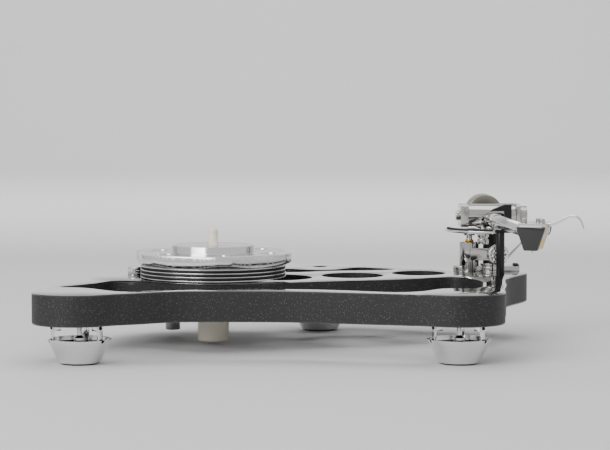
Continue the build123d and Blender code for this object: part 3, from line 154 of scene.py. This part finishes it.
@dataclass(frozen=True)
class Finish:
    """A surface finish: what it is made of and how it was made."""

    name: str
    colour: str
    roughness: float
    metallic: float = 0.0
    coat: float = 0.0
    coat_roughness: float = 0.03
    ior: float = 1.5
    mark_size_mm: float = 0.0
    mark_depth_mm: float = 0.0
    mark_contrast: float = 0.0
    turned: Turned = Turned.PLAIN
    centre: tuple[float, float, float] = (0.0, 0.0, 0.0)

    def start(self) -> tuple[bpy.types.Material, bpy.types.NodeTree, bpy.types.Node]:
        """Make the material with its principled shader.

        Returns:
            The material, its tree and its shader node.
        """
        material = bpy.data.materials.new(self.name)
        material.use_nodes = True
        tree = material.node_tree
        tree.nodes.clear()
        shader = add_node(
            tree,
            "ShaderNodeBsdfPrincipled",
            {
                "Base Color": linear(self.colour),
                "Roughness": self.roughness,
                "Metallic": self.metallic,
                "Coat Weight": self.coat,
                "Coat Roughness": self.coat_roughness,
                "IOR": self.ior,
            },
        )
        add_node(tree, "ShaderNodeOutputMaterial", {}, {"Surface": shader.outputs[0]})
        material.diffuse_color = linear(self.colour)
        return material, tree, shader

    def marks(self, tree: bpy.types.NodeTree) -> bpy.types.NodeSocket:
        """Add the fine tool or grain marks as a value from 0 to 1.

        Args:
            tree: the material's tree.

        Returns:
            The socket that carries the marks.
        """
        place = add_node(tree, "ShaderNodeTexCoord")
        moved = add_node(
            tree,
            "ShaderNodeMapping",
            {"Location": tuple(-c for c in self.centre)},
            {"Vector": place.outputs["Object"]},
        )
        vector = moved.outputs[0]
        if self.turned is Turned.LATHE:
            rings = add_node(
                tree,
                "ShaderNodeTexWave",
                {
                    "wave_type": "RINGS",
                    "rings_direction": "Z",
                    "Scale": WAVE_LENGTH / (self.mark_size_mm * MM),
                    "Distortion": 1.5,
                    "Detail": 2.0,
                    "Detail Scale": 3.0,
                },
                {"Vector": vector},
            )
            return rings.outputs["Fac"]
        if self.turned is Turned.BRUSHED:
            vector = add_node(
                tree, "ShaderNodeMapping", {"Scale": (1.0, 0.06, 1.0)}, {"Vector": vector}
            ).outputs[0]
        grain = add_node(
            tree,
            "ShaderNodeTexNoise",
            {"Scale": 1.0 / (self.mark_size_mm * MM), "Detail": 4.0, "Roughness": 0.6},
            {"Vector": vector},
        )
        return grain.outputs["Fac"]

    def build(self) -> bpy.types.Material:
        """Make the finished material.

        Returns:
            The material, with its marks in roughness and bump.
        """
        material, tree, shader = self.start()
        if self.mark_size_mm:
            marks = self.marks(tree)
            rough = add_node(
                tree,
                "ShaderNodeMapRange",
                {
                    "To Min": max(0.0, self.roughness * (1.0 - self.mark_contrast)),
                    "To Max": min(1.0, self.roughness * (1.0 + self.mark_contrast)),
                },
                {"Value": marks},
            )
            tree.links.new(rough.outputs[0], shader.inputs["Roughness"])
            bump = add_node(
                tree,
                "ShaderNodeBump",
                {"Strength": 0.4, "Distance": self.mark_depth_mm * MM},
                {"Height": marks},
            )
            tree.links.new(bump.outputs[0], shader.inputs["Normal"])
        return material


@dataclass(frozen=True)
class SpeckledComposite(Finish):
    """Cast mineral composite: matte black with fine pale grains that catch the light."""

    speck_colour: str = "#6a6a69"
    speck_cell_mm: float = 0.9

    def build(self) -> bpy.types.Material:
        """Make the composite, with its grains scattered through the surface.

        Returns:
            The material.
        """
        material, tree, shader = self.start()
        place = add_node(tree, "ShaderNodeTexCoord")
        cells = add_node(
            tree,
            "ShaderNodeTexVoronoi",
            {"Scale": 1.0 / (self.speck_cell_mm * MM), "Randomness": 1.0},
            {"Vector": place.outputs["Object"]},
        )
        keep = add_node(
            tree,
            "ShaderNodeTexNoise",
            {"Scale": 0.7 / (self.speck_cell_mm * MM), "Detail": 1.0},
            {"Vector": place.outputs["Object"]},
        )
        near = add_node(
            tree,
            "ShaderNodeMapRange",
            {"From Min": 0.34, "From Max": 0.14, "To Min": 0.0, "To Max": 1.0},
            {"Value": cells.outputs["Distance"]},
        )
        some = add_node(
            tree,
            "ShaderNodeMapRange",
            {"From Min": 0.48, "From Max": 0.62},
            {"Value": keep.outputs["Fac"]},
        )
        both = add_node(
            tree,
            "ShaderNodeMath",
            {"operation": "MULTIPLY"},
            {0: near.outputs[0], 1: some.outputs[0]},
        )
        colour = add_node(
            tree,
            "ShaderNodeMix",
            {"data_type": "RGBA", 6: linear(self.colour), 7: linear(self.speck_colour)},
            {0: both.outputs[0]},
        )
        tree.links.new(colour.outputs[2], shader.inputs["Base Color"])
        bump = add_node(
            tree,
            "ShaderNodeBump",
            {"Strength": 0.5, "Distance": 0.15 * MM},
            {"Height": both.outputs[0]},
        )
        tree.links.new(bump.outputs[0], shader.inputs["Normal"])
        return material


@dataclass(frozen=True)
class WovenLaminate(Finish):
    """Black fibre laminate under clear gloss: a faint twill shows only close up. One thread
    direction gets a lighter colour as a painted sheen.
    """

    thread_mm: float = 2.2
    # painted sheen: this lighter colour on one thread direction stands in for light glancing off
    # those fibres
    painted_sheen_thread: str = "#1b1b1d"

    def build(self) -> bpy.types.Material:
        """Make the laminate, its two thread directions crossing at right angles.

        Returns:
            The material.
        """
        material, tree, shader = self.start()
        place = add_node(tree, "ShaderNodeTexCoord")
        waves = []
        for turn in (45.0, -45.0):
            turned = add_node(
                tree,
                "ShaderNodeMapping",
                {"Rotation": (0.0, 0.0, math.radians(turn))},
                {"Vector": place.outputs["Object"]},
            )
            wave = add_node(
                tree,
                "ShaderNodeTexWave",
                {"bands_direction": "X", "Scale": WAVE_LENGTH / (self.thread_mm * MM)},
                {"Vector": turned.outputs[0]},
            )
            waves.append(wave.outputs["Fac"])
        over = add_node(
            tree, "ShaderNodeMath", {"operation": "GREATER_THAN"}, {0: waves[0], 1: waves[1]}
        )
        # painted sheen: where the +45° threads lie uppermost they take the lighter thread colour
        colour = add_node(
            tree,
            "ShaderNodeMix",
            {"data_type": "RGBA", 6: linear(self.colour), 7: linear(self.painted_sheen_thread)},
            {0: over.outputs[0]},
        )
        tree.links.new(colour.outputs[2], shader.inputs["Base Color"])
        return material


@dataclass
class FinishSet:
    """Every finish on the record player, made once and shared."""

    spindle: Vector
    made: dict[str, bpy.types.Material] = field(default_factory=dict)

    def catalogue(self) -> list[Finish]:
        """List the finishes.

        Returns:
            One finish for each slot of the record.
        """
        middle = tuple(self.spindle)
        return [
            # cast composite: dull black, so its grains are all that catches the light
            SpeckledComposite("composite_core", "#151516", 0.55),
            # lacquered laminate: dark from above and a mirror at a low angle
            WovenLaminate("gloss_laminate", "#0b0b0c", 0.07, coat=1.0, coat_roughness=0.02),
            # ground alumina: warm white with a soft sheen
            Finish("cream_ceramic", "#e6dfcc", 0.36, coat=0.25, coat_roughness=0.2,
                   mark_size_mm=3.0, mark_depth_mm=0.02, mark_contrast=0.15),
            # polished aluminium: bright, with faint blur from the mop
            Finish("polished_aluminium", "#e3e3e4", 0.13, 1.0, mark_size_mm=1.2,
                   mark_depth_mm=0.004, mark_contrast=0.3, turned=Turned.BRUSHED),
            # lathe-turned aluminium: circles round the spindle stretch every highlight
            Finish("turned_aluminium", "#dcdcde", 0.17, 1.0, mark_size_mm=0.9,
                   mark_depth_mm=0.006, mark_contrast=0.35, turned=Turned.LATHE, centre=middle),
            # polished stainless steel: darker than aluminium and sharper
            Finish("polished_steel", "#b9b8b5", 0.1, 1.0, mark_size_mm=1.5,
                   mark_depth_mm=0.003, mark_contrast=0.3),
            # satin stainless: the weight's face, blasted so that it shows no sharp image
            Finish("satin_steel", "#8d8a82", 0.34, 1.0, mark_size_mm=0.6,
                   mark_depth_mm=0.01, mark_contrast=0.2),
            # black anodised aluminium: deep black with a low sheen
            Finish("black_anodised", "#101011", 0.32, 0.3, mark_size_mm=0.4,
                   mark_depth_mm=0.01, mark_contrast=0.2),
            # bead-blasted zinc
            Finish("grey_metal", "#8b8c8f", 0.42, 0.8, mark_size_mm=0.5,
                   mark_depth_mm=0.01, mark_contrast=0.2),
            # black oxide on steel screws
            Finish("black_screws", "#161616", 0.28, 0.6, mark_size_mm=0.3,
                   mark_depth_mm=0.004, mark_contrast=0.2),
            # extruded rubber cord: dull, so it reads as dark bands between the ridges
            Finish("belt_rubber", "#131313", 0.6, mark_size_mm=0.4, mark_depth_mm=0.02,
                   mark_contrast=0.15),
            # moulded rubber pads
            Finish("pad_rubber", "#151515", 0.7, mark_size_mm=0.5, mark_depth_mm=0.03,
                   mark_contrast=0.1),
            # gold plating
            Finish("gold_plate", "#d9a441", 0.18, 1.0, mark_size_mm=0.8, mark_depth_mm=0.003,
                   mark_contrast=0.2),
            # injection-moulded gloss black
            Finish("black_plastic", "#0d0d0e", 0.16, coat=0.4, mark_size_mm=0.7,
                   mark_depth_mm=0.004, mark_contrast=0.2),
            # moulded cream resin
            Finish("cream_plastic", "#cfc69d", 0.4, mark_size_mm=0.8, mark_depth_mm=0.01,
                   mark_contrast=0.15),
            # translucent yellow resin
            Finish("yellow_plastic", "#dcc453", 0.34, mark_size_mm=0.8, mark_depth_mm=0.01,
                   mark_contrast=0.15),
            # the four lead sleeves, silicone
            Finish("lead_green", "#2f8f6a", 0.4, mark_size_mm=0.5, mark_depth_mm=0.01),
            Finish("lead_red", "#b3262b", 0.4, mark_size_mm=0.5, mark_depth_mm=0.01),
            Finish("lead_white", "#dddddd", 0.4, mark_size_mm=0.5, mark_depth_mm=0.01),
            Finish("lead_blue", "#2a4f9c", 0.4, mark_size_mm=0.5, mark_depth_mm=0.01),
        ]

    def build(self) -> None:
        """Make every finish."""
        for finish in self.catalogue():
            self.made[finish.name] = finish.build()

    def get(self, name: str) -> bpy.types.Material:
        """Give the material of a finish by its name."""
        return self.made[name]


@dataclass
class Workshop:
    """The tools that every sub-assembly uses: the frame, its finishes and the mesh work."""

    frame: dict
    finishes: FinishSet

    def slot_of(self, node: str) -> str:
        """Give the record's material slot of a CAD node."""
        rows = self.frame["record"]["subparts"]
        return next(r["material_slot"] for r in rows if r["node"] == node)

    def body_of(self, node: str) -> str:
        """Give the body that a CAD node belongs to."""
        bodies = self.frame["record"]["behaviour"]["bodies"]
        return next(b for b, members in bodies.items() if node in members)

    def settle(
        self, piece: bpy.types.Object, node: str, finish: str | None = None, stands_in: bool = True
    ) -> None:
        """Dress a piece, and tie it to the body and slot of a CAD node.

        Args:
            piece: the new piece.
            node: the CAD node that it belongs with.
            finish: the finish's name, or None for the one named after the slot.
            stands_in: whether the piece takes the CAD node's place.
        """
        slot = self.slot_of(node)
        piece.data.materials.clear()
        piece.data.materials.append(self.finishes.get(finish or slot))
        for polygon in piece.data.polygons:
            polygon.material_index = 0
        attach(piece, self.body_of(node))
        if stands_in:
            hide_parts(node)
        LOG.info("%s: %d faces, %s", piece.name, len(piece.data.polygons), finish or slot)

    def refine(
        self, node: str, finish: str | None = None, edge_mm: float = 0.2, smooth_deg: float = 32.0
    ) -> bpy.types.Object:
        """Make a smooth copy of a CAD node with rounded edges, and put it in the node's place.

        Args:
            node: the CAD node.
            finish: the finish's name, or None for the one named after the slot.
            edge_mm: the width of each rounded edge.
            smooth_deg: edges sharper than this stay sharp and get rounded.

        Returns:
            The new piece.
        """
        mesh = self.frame["nodes"][node].data.copy()
        mesh.name = node + "_fine"
        work = bmesh.new()
        work.from_mesh(mesh)
        bmesh.ops.remove_doubles(work, verts=work.verts, dist=MERGE_MM * MM)
        bmesh.ops.dissolve_degenerate(work, edges=work.edges, dist=MERGE_MM * MM)
        work.to_mesh(mesh)
        work.free()
        piece = bpy.data.objects.new(node + "_fine", mesh)
        bpy.context.scene.collection.objects.link(piece)
        if edge_mm > 0:
            self.round_edges(piece, edge_mm, smooth_deg)
        self.smooth(piece, smooth_deg)
        self.settle(piece, node, finish)
        return piece

    def round_edges(self, piece: bpy.types.Object, edge_mm: float, angle_deg: float) -> None:
        """Round the sharp edges of a piece.

        Args:
            piece: the piece.
            edge_mm: the width of the rounding.
            angle_deg: edges sharper than this are rounded.
        """
        bevel = piece.modifiers.new("edges", "BEVEL")
        bevel.width = edge_mm * MM
        bevel.segments = 2
        bevel.limit_method = "ANGLE"
        bevel.angle_limit = math.radians(angle_deg)
        bevel.use_clamp_overlap = True
        self.bake(piece)

    def bake(self, piece: bpy.types.Object) -> None:
        """Replace a piece's mesh by what its modifiers make of it, and drop them.

        Args:
            piece: the piece.
        """
        bpy.context.view_layer.update()
        evaluated = piece.evaluated_get(bpy.context.evaluated_depsgraph_get())
        made = bpy.data.meshes.new_from_object(evaluated)
        piece.modifiers.clear()
        piece.data = made

    def smooth(self, piece: bpy.types.Object, angle_deg: float) -> None:
        """Shade a piece smooth, with its sharp edges kept.

        Args:
            piece: the piece.
            angle_deg: edges sharper than this stay sharp.
        """
        piece.data.shade_smooth()
        piece.data.set_sharp_from_angle(angle=math.radians(angle_deg))

    def ring_of(
        self,
        name: str,
        item: bpy.types.Object,
        count: int,
        radius: float,
        start_deg: float,
        material: bpy.types.Material,
    ) -> bpy.types.Object:
        """Set copies of an item round a ring with Geometry Nodes.

        Args:
            name: the new piece's name.
            item: the object that is repeated, its outer end along +X.
            count: how many there are.
            radius: the ring's radius in metres.
            start_deg: the angle of the first.
            material: the material that the tree sets.

        Returns:
            A plain mesh object in the XY plane, with its middle at the origin.
        """
        tree = bpy.data.node_groups.new(name + "_tree", "GeometryNodeTree")
        face = tree.interface
        face.new_socket("Geometry", in_out="INPUT", socket_type="NodeSocketGeometry")
        sockets = {
            "Item": face.new_socket("Item", in_out="INPUT", socket_type="NodeSocketObject"),
            "Count": face.new_socket("Count", in_out="INPUT", socket_type="NodeSocketInt"),
            "Radius": face.new_socket("Radius", in_out="INPUT", socket_type="NodeSocketFloat"),
            "Start": face.new_socket("Start", in_out="INPUT", socket_type="NodeSocketFloat"),
            "Finish": face.new_socket("Finish", in_out="INPUT", socket_type="NodeSocketMaterial"),
        }
        face.new_socket("Geometry", in_out="OUTPUT", socket_type="NodeSocketGeometry")
        given = tree.nodes.new("NodeGroupInput").outputs
        index = add_node(tree, "GeometryNodeInputIndex")
        step = add_node(
            tree, "ShaderNodeMath", {"operation": "DIVIDE", 0: 2 * math.pi}, {1: given["Count"]}
        )
        turn = add_node(
            tree,
            "ShaderNodeMath",
            {"operation": "MULTIPLY_ADD"},
            {0: index.outputs[0], 1: step.outputs[0], 2: given["Start"]},
        )
        spin = add_node(tree, "ShaderNodeCombineXYZ", {}, {"Z": turn.outputs[0]})
        out = add_node(tree, "ShaderNodeCombineXYZ", {}, {"X": given["Radius"]})
        place = add_node(
            tree,
            "ShaderNodeVectorRotate",
            {"rotation_type": "EULER_XYZ"},
            {"Vector": out.outputs[0], "Rotation": spin.outputs[0]},
        )
        points = add_node(
            tree, "GeometryNodePoints", {}, {"Count": given["Count"], "Position": place.outputs[0]}
        )
        info = add_node(tree, "GeometryNodeObjectInfo", {}, {"Object": given["Item"]})
        copies = add_node(
            tree,
            "GeometryNodeInstanceOnPoints",
            {},
            {
                "Points": points.outputs[0],
                "Instance": info.outputs["Geometry"],
                "Rotation": spin.outputs[0],
            },
        )
        real = add_node(tree, "GeometryNodeRealizeInstances", {}, {0: copies.outputs[0]})
        dressed = add_node(
            tree,
            "GeometryNodeSetMaterial",
            {},
            {"Geometry": real.outputs[0], "Material": given["Finish"]},
        )
        end = tree.nodes.new("NodeGroupOutput")
        tree.links.new(dressed.outputs[0], end.inputs[0])
        piece = bpy.data.objects.new(name, bpy.data.meshes.new(name))
        bpy.context.scene.collection.objects.link(piece)
        modifier = piece.modifiers.new("ring", "NODES")
        modifier.node_group = tree
        values = {
            "Item": item,
            "Count": count,
            "Radius": radius,
            "Start": math.radians(start_deg),
            "Finish": material,
        }
        for key, value in values.items():
            modifier[sockets[key].identifier] = value
        self.bake(piece)
        return piece

    def lathe(
        self, name: str, profile: list[tuple[float, float]], steps: int = 64
    ) -> bpy.types.Object:
        """Turn an outline of (radius, height) points about the Z axis.

        Args:
            name: the piece's name.
            profile: points from the bottom of the axis round to its top, in millimetres.
            steps: how many faces go round.

        Returns:
            A closed mesh object.
        """
        mesh = bpy.data.meshes.new(name)
        work = bmesh.new()
        loop = [work.verts.new((r * MM, 0.0, z * MM)) for r, z in profile]
        edges = [work.edges.new(pair) for pair in zip(loop, loop[1:])]
        bmesh.ops.spin(
            work,
            geom=loop + edges,
            cent=(0, 0, 0),
            axis=(0, 0, 1),
            angle=2 * math.pi,
            steps=steps,
            use_merge=True,
        )
        bmesh.ops.remove_doubles(work, verts=work.verts, dist=0.001 * MM)
        bmesh.ops.recalc_face_normals(work, faces=work.faces)
        work.to_mesh(mesh)
        work.free()
        piece = bpy.data.objects.new(name, mesh)
        bpy.context.scene.collection.objects.link(piece)
        return piece

    def join(self, name: str, pieces: list[bpy.types.Object]) -> bpy.types.Object:
        """Join plain mesh objects into one.

        Args:
            name: the joined piece's name.
            pieces: the objects, which are removed.

        Returns:
            The joined object, at the origin.
        """
        work = bmesh.new()
        for piece in pieces:
            work.from_mesh(piece.data)
            bpy.data.objects.remove(piece)
        mesh = bpy.data.meshes.new(name)
        work.to_mesh(mesh)
        work.free()
        joined = bpy.data.objects.new(name, mesh)
        bpy.context.scene.collection.objects.link(joined)
        return joined


@dataclass
class Plinth:
    """The composite core, its two glossy skins and the fixings in it."""

    shop: Workshop
    skin_edge_mm: float = 0.15

    def build(self) -> None:
        """Dress the plinth."""
        self.shop.refine("plinth_core", edge_mm=0.0)
        self.shop.refine("plinth_top_skin", edge_mm=self.skin_edge_mm)
        self.shop.refine("plinth_bottom_skin", edge_mm=self.skin_edge_mm)
        self.shop.refine("hub_side_fixing", edge_mm=0.2)
        self.shop.refine("rear_foot_bolt", edge_mm=0.2)


@dataclass
class Drive:
    """The bearing, the hub that carries the platter, the motor and its belts."""

    shop: Workshop

    def build(self) -> None:
        """Dress the drive."""
        self.shop.refine("bearing_housing", edge_mm=0.4)
        self.shop.refine("spindle_shaft", edge_mm=0.0)
        self.shop.refine("grooved_drum", "turned_aluminium", edge_mm=0.15)
        self.shop.refine("platter_carrier", "turned_aluminium", edge_mm=0.4)
        self.shop.refine("motor_can", edge_mm=0.5)
        self.shop.refine("motor_flange", edge_mm=0.3)
        self.shop.refine("motor_lower_boss", edge_mm=0.2)
        self.shop.refine("motor_pulley", edge_mm=0.15)
        self.shop.refine("motor_shaft", edge_mm=0.1)
        self.shop.refine("drive_belts", edge_mm=0.45)


@dataclass
class Feet:
    """Three hollow cones on pads, each hung on straps from lugs under the plinth."""

    shop: Workshop
    strap_count: int = 3
    first_strap_deg: float = 82.0
    head_radius_mm: float = 1.35
    head_height_mm: float = 0.95

    def build(self) -> None:
        """Dress the feet and make their screws."""
        for name in ("front_left_foot", "front_right_foot", "rear_foot"):
            self.shop.refine(name, edge_mm=0.3)
        for name in ("foot_pads", "strap_lugs", "foot_straps", "levelling_studs"):
            self.shop.refine(name, edge_mm=0.2)
        self.screws()

    def head(self) -> bpy.types.Object:
        """Make one domed screw head with a socket, its outer face along +X.

        Returns:
            The screw head.
        """
        r, h = self.head_radius_mm, self.head_height_mm
        head = self.shop.lathe(
            "screw_head",
            [(0, 0), (r, 0), (r, h * 0.45), (r * 0.82, h * 0.85), (r * 0.55, h),
             (r * 0.5, h * 0.94), (r * 0.46, h * 0.35), (0, h * 0.35)],
            steps=18,
        )
        head.data.transform(Matrix.Rotation(math.radians(90), 4, "Y"))
        return head

    def screws(self) -> None:
        """Set a ring of screw heads at the rim and at the lugs of each foot."""
        head = self.head()
        finish = self.shop.finishes.get("black_screws")
        rings = []
        for name in ("front_left_foot", "front_right_foot", "rear_foot"):
            foot_low, foot_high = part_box(name)
            middle = (foot_low + foot_high) / 2
            reach = (foot_high.x - foot_low.x) / 2
            for i, (radius, height) in enumerate(self.screw_rows(middle, reach)):
                ring = self.shop.ring_of(
                    f"screws_{name}_{i}",
                    head,
                    self.strap_count,
                    radius,
                    self.first_strap_deg,
                    finish,
                )
                ring.data.transform(Matrix.Translation((middle.x, middle.y, height)))
                rings.append(ring)
        joined = self.shop.join("foot_screw_heads", rings)
        bpy.data.objects.remove(head)
        self.shop.smooth(joined, 40.0)
        self.shop.settle(joined, "foot_screws")

    def screw_rows(self, middle: Vector, reach: float) -> list[tuple[float, float]]:
        """Measure where a foot's lower and upper screws sit.

        Args:
            middle: the middle of the foot.
            reach: the radius of the foot's rim in metres.

        Returns:
            For each row, the radius of the heads' inner faces and their height.
        """
        verts = [v.co for v in self.shop.frame["nodes"]["foot_screws"].data.vertices]
        near = [v for v in verts if (v.xy - middle.xy).length < reach * 1.2]
        split = (min(v.z for v in near) + max(v.z for v in near)) / 2
        rows = []
        for row in ([v for v in near if v.z < split], [v for v in near if v.z >= split]):
            outer = max((v.xy - middle.xy).length for v in row)
            height = (min(v.z for v in row) + max(v.z for v in row)) / 2
            rows.append((outer - self.head_height_mm * MM, height))
        return rows


@dataclass
class ArmStand:
    """What stays on the plinth under the arm: base, pillar, rest and lift."""

    shop: Workshop

    def build(self) -> None:
        """Dress the stand and the lift."""
        self.shop.refine("arm_base_plate", edge_mm=0.4)
        self.shop.refine("arm_base_screws", edge_mm=0.2)
        self.shop.refine("arm_collar", edge_mm=0.3)
        self.shop.refine("arm_pillar", edge_mm=0.3)
        self.shop.refine("tonearm_cable_socket", edge_mm=0.3)
        self.shop.refine("arm_rest_post", edge_mm=0.2)
        self.shop.refine("arm_rest_clip", edge_mm=0.5)
        self.shop.refine("lift_cylinder", edge_mm=0.3)
        self.shop.refine("lift_gold_ring", edge_mm=0.2)
        self.shop.refine("lift_bracket", edge_mm=0.4)
        self.shop.refine("lift_platform", edge_mm=0.3)
        self.shop.refine("lift_height_knob", edge_mm=0.3)
        self.shop.refine("lift_adjust_knob", edge_mm=0.3)
        self.shop.refine("lift_pad", edge_mm=0.3)
        self.shop.refine("lift_lever", edge_mm=0.2)
        self.shop.refine("lift_lever_dial", edge_mm=0.2)


@dataclass
class Arm:
    """The yoke, the barrel that tips in it, the tube, the cartridge and the weight."""

    shop: Workshop

    def build(self) -> None:
        """Dress the arm."""
        self.shop.refine("arm_yoke", edge_mm=0.4)
        self.shop.refine("pivot_pins", edge_mm=0.0)
        self.shop.refine("pivot_cap", edge_mm=0.2)
        self.shop.refine("tracking_force_dial", edge_mm=0.15)
        self.shop.refine("arm_barrel", edge_mm=0.4)
        self.shop.refine("arm_tube", edge_mm=0.0)
        self.shop.refine("counterweight_rod", edge_mm=0.3)
        self.shop.refine("counterweight", "satin_steel", edge_mm=0.3)
        self.shop.refine("headshell", edge_mm=0.3)
        self.shop.refine("headshell_bolts", "polished_steel", edge_mm=0.3)
        self.shop.refine("cartridge_cover", edge_mm=0.4)
        self.shop.refine("cartridge_body", edge_mm=0.3)
        self.shop.refine("stylus_holder", edge_mm=0.3)
        self.shop.refine("stylus", edge_mm=0.0)
        self.shop.refine("finger_lift", edge_mm=0.3)
        for colour in ("green", "red", "white", "blue"):
            self.shop.refine(f"cartridge_lead_{colour}", edge_mm=0.0)


@dataclass
class Studio:
    """A pale seamless sweep, soft lights and the camera."""

    spindle: Vector
    floor_z: float
    camera_right_mm: float = 70.2
    camera_back_mm: float = -1794.0
    camera_up_mm: float = 205.5
    camera_pitch_deg: float = 3.65
    lens_mm: float = 138.7
    floor_colour: str = "#d2d2d2"
    sweep_front: float = -6.0
    sweep_bend: float = 3.2
    sweep_radius: float = 1.6
    sweep_height: float = 6.5
    sweep_half_width: float = 9.0
    sweep_steps: int = 16
    sky_strength: float = 0.9

    def build(self) -> None:
        """Make the sweep, the lights and the camera."""
        self.sweep()
        self.lights()
        self.camera()

    def sweep(self) -> None:
        """Make a floor that curves up into a backdrop."""
        mesh = bpy.data.meshes.new("studio_sweep")
        work = bmesh.new()
        half = self.sweep_half_width
        radius = self.sweep_radius
        profile = [(self.sweep_front, 0.0)]
        for i in range(self.sweep_steps + 1):
            angle = math.pi / 2 * i / self.sweep_steps
            out = self.sweep_bend + radius * math.sin(angle)
            profile.append((out, radius * (1 - math.cos(angle))))
        profile.append((self.sweep_bend + radius, self.sweep_height))
        rows = []
        for y, z in profile:
            row = [work.verts.new((x, y, z + self.floor_z)) for x in (-half, half)]
            rows.append(row)
        for one, two in zip(rows, rows[1:]):
            work.faces.new((one[0], one[1], two[1], two[0]))
        work.to_mesh(mesh)
        work.free()
        sweep = bpy.data.objects.new("studio_sweep", mesh)
        bpy.context.scene.collection.objects.link(sweep)
        mesh.shade_smooth()
        finish = Finish("studio_paper", self.floor_colour, 0.6)
        mesh.materials.append(finish.build())
        sweep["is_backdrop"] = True

    def area(
        self, name: str, place: tuple, aim: tuple, size: tuple[float, float], power: float
    ) -> None:
        """Add one soft rectangular light.

        Args:
            name: its name.
            place: where it stands, in metres.
            aim: the point that it faces.
            size: its width and height in metres.
            power: its power in watts.
        """
        data = bpy.data.lights.new(name, "AREA")
        data.shape = "RECTANGLE"
        data.size, data.size_y = size
        data.energy = power
        lamp = bpy.data.objects.new(name, data)
        lamp.location = place
        lamp.rotation_euler = (Vector(aim) - Vector(place)).to_track_quat("-Z", "Y").to_euler()
        bpy.context.scene.collection.objects.link(lamp)

    def lights(self) -> None:
        """Light the object softly from all round, and most from the front left."""
        world = bpy.data.worlds.new("studio_air")
        world.use_nodes = True
        sky = world.node_tree.nodes["Background"]
        sky.inputs["Color"].default_value = linear("#f2f2f2")
        sky.inputs["Strength"].default_value = self.sky_strength
        bpy.context.scene.world = world
        middle = (0.0, 0.0, 0.06)
        self.area("key_front_left", (-1.5, -1.6, 1.3), middle, (1.8, 1.2), 46.0)
        self.area("top_soft", (0.1, 0.3, 2.2), middle, (2.4, 2.0), 28.0)
        self.area("back_sweep", (0.0, 1.4, 1.8), (0.0, 4.2, 1.0), (3.0, 1.4), 85.0)

    def camera(self) -> None:
        """Stand the camera low in front, a little to the right of the spindle."""
        data = bpy.data.cameras.new("camera")
        data.lens = self.lens_mm
        data.sensor_width = 36.0
        data.clip_start = 0.05
        camera = bpy.data.objects.new("camera", data)
        camera.location = (
            self.spindle.x + self.camera_right_mm * MM,
            self.spindle.y + self.camera_back_mm * MM,
            self.floor_z + self.camera_up_mm * MM,
        )
        camera.rotation_euler = (math.radians(90.0 - self.camera_pitch_deg), 0.0, 0.0)
        bpy.context.scene.collection.objects.link(camera)
        bpy.context.scene.camera = camera


def main() -> None:
    """Build the studio and every sub-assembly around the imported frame."""
    logging.basicConfig(level=logging.INFO, format="%(name)s %(message)s")
    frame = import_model()
    cad_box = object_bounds()
    low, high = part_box("spindle_shaft")
    spindle = Vector(((low.x + high.x) / 2, (low.y + high.y) / 2, 0.0))
    finishes = FinishSet(spindle)
    finishes.build()
    shop = Workshop(frame, finishes)
    Studio(spindle, cad_box[0][2]).build()
    for part in (Plinth(shop), Drive(shop), Feet(shop), ArmStand(shop), Arm(shop)):
        part.build()
    ball = frame["nodes"]["thrust_ball"]
    ball.data.materials.clear()
    ball.data.materials.append(finishes.get("polished_steel"))


if __name__ == "__main__":
    main()
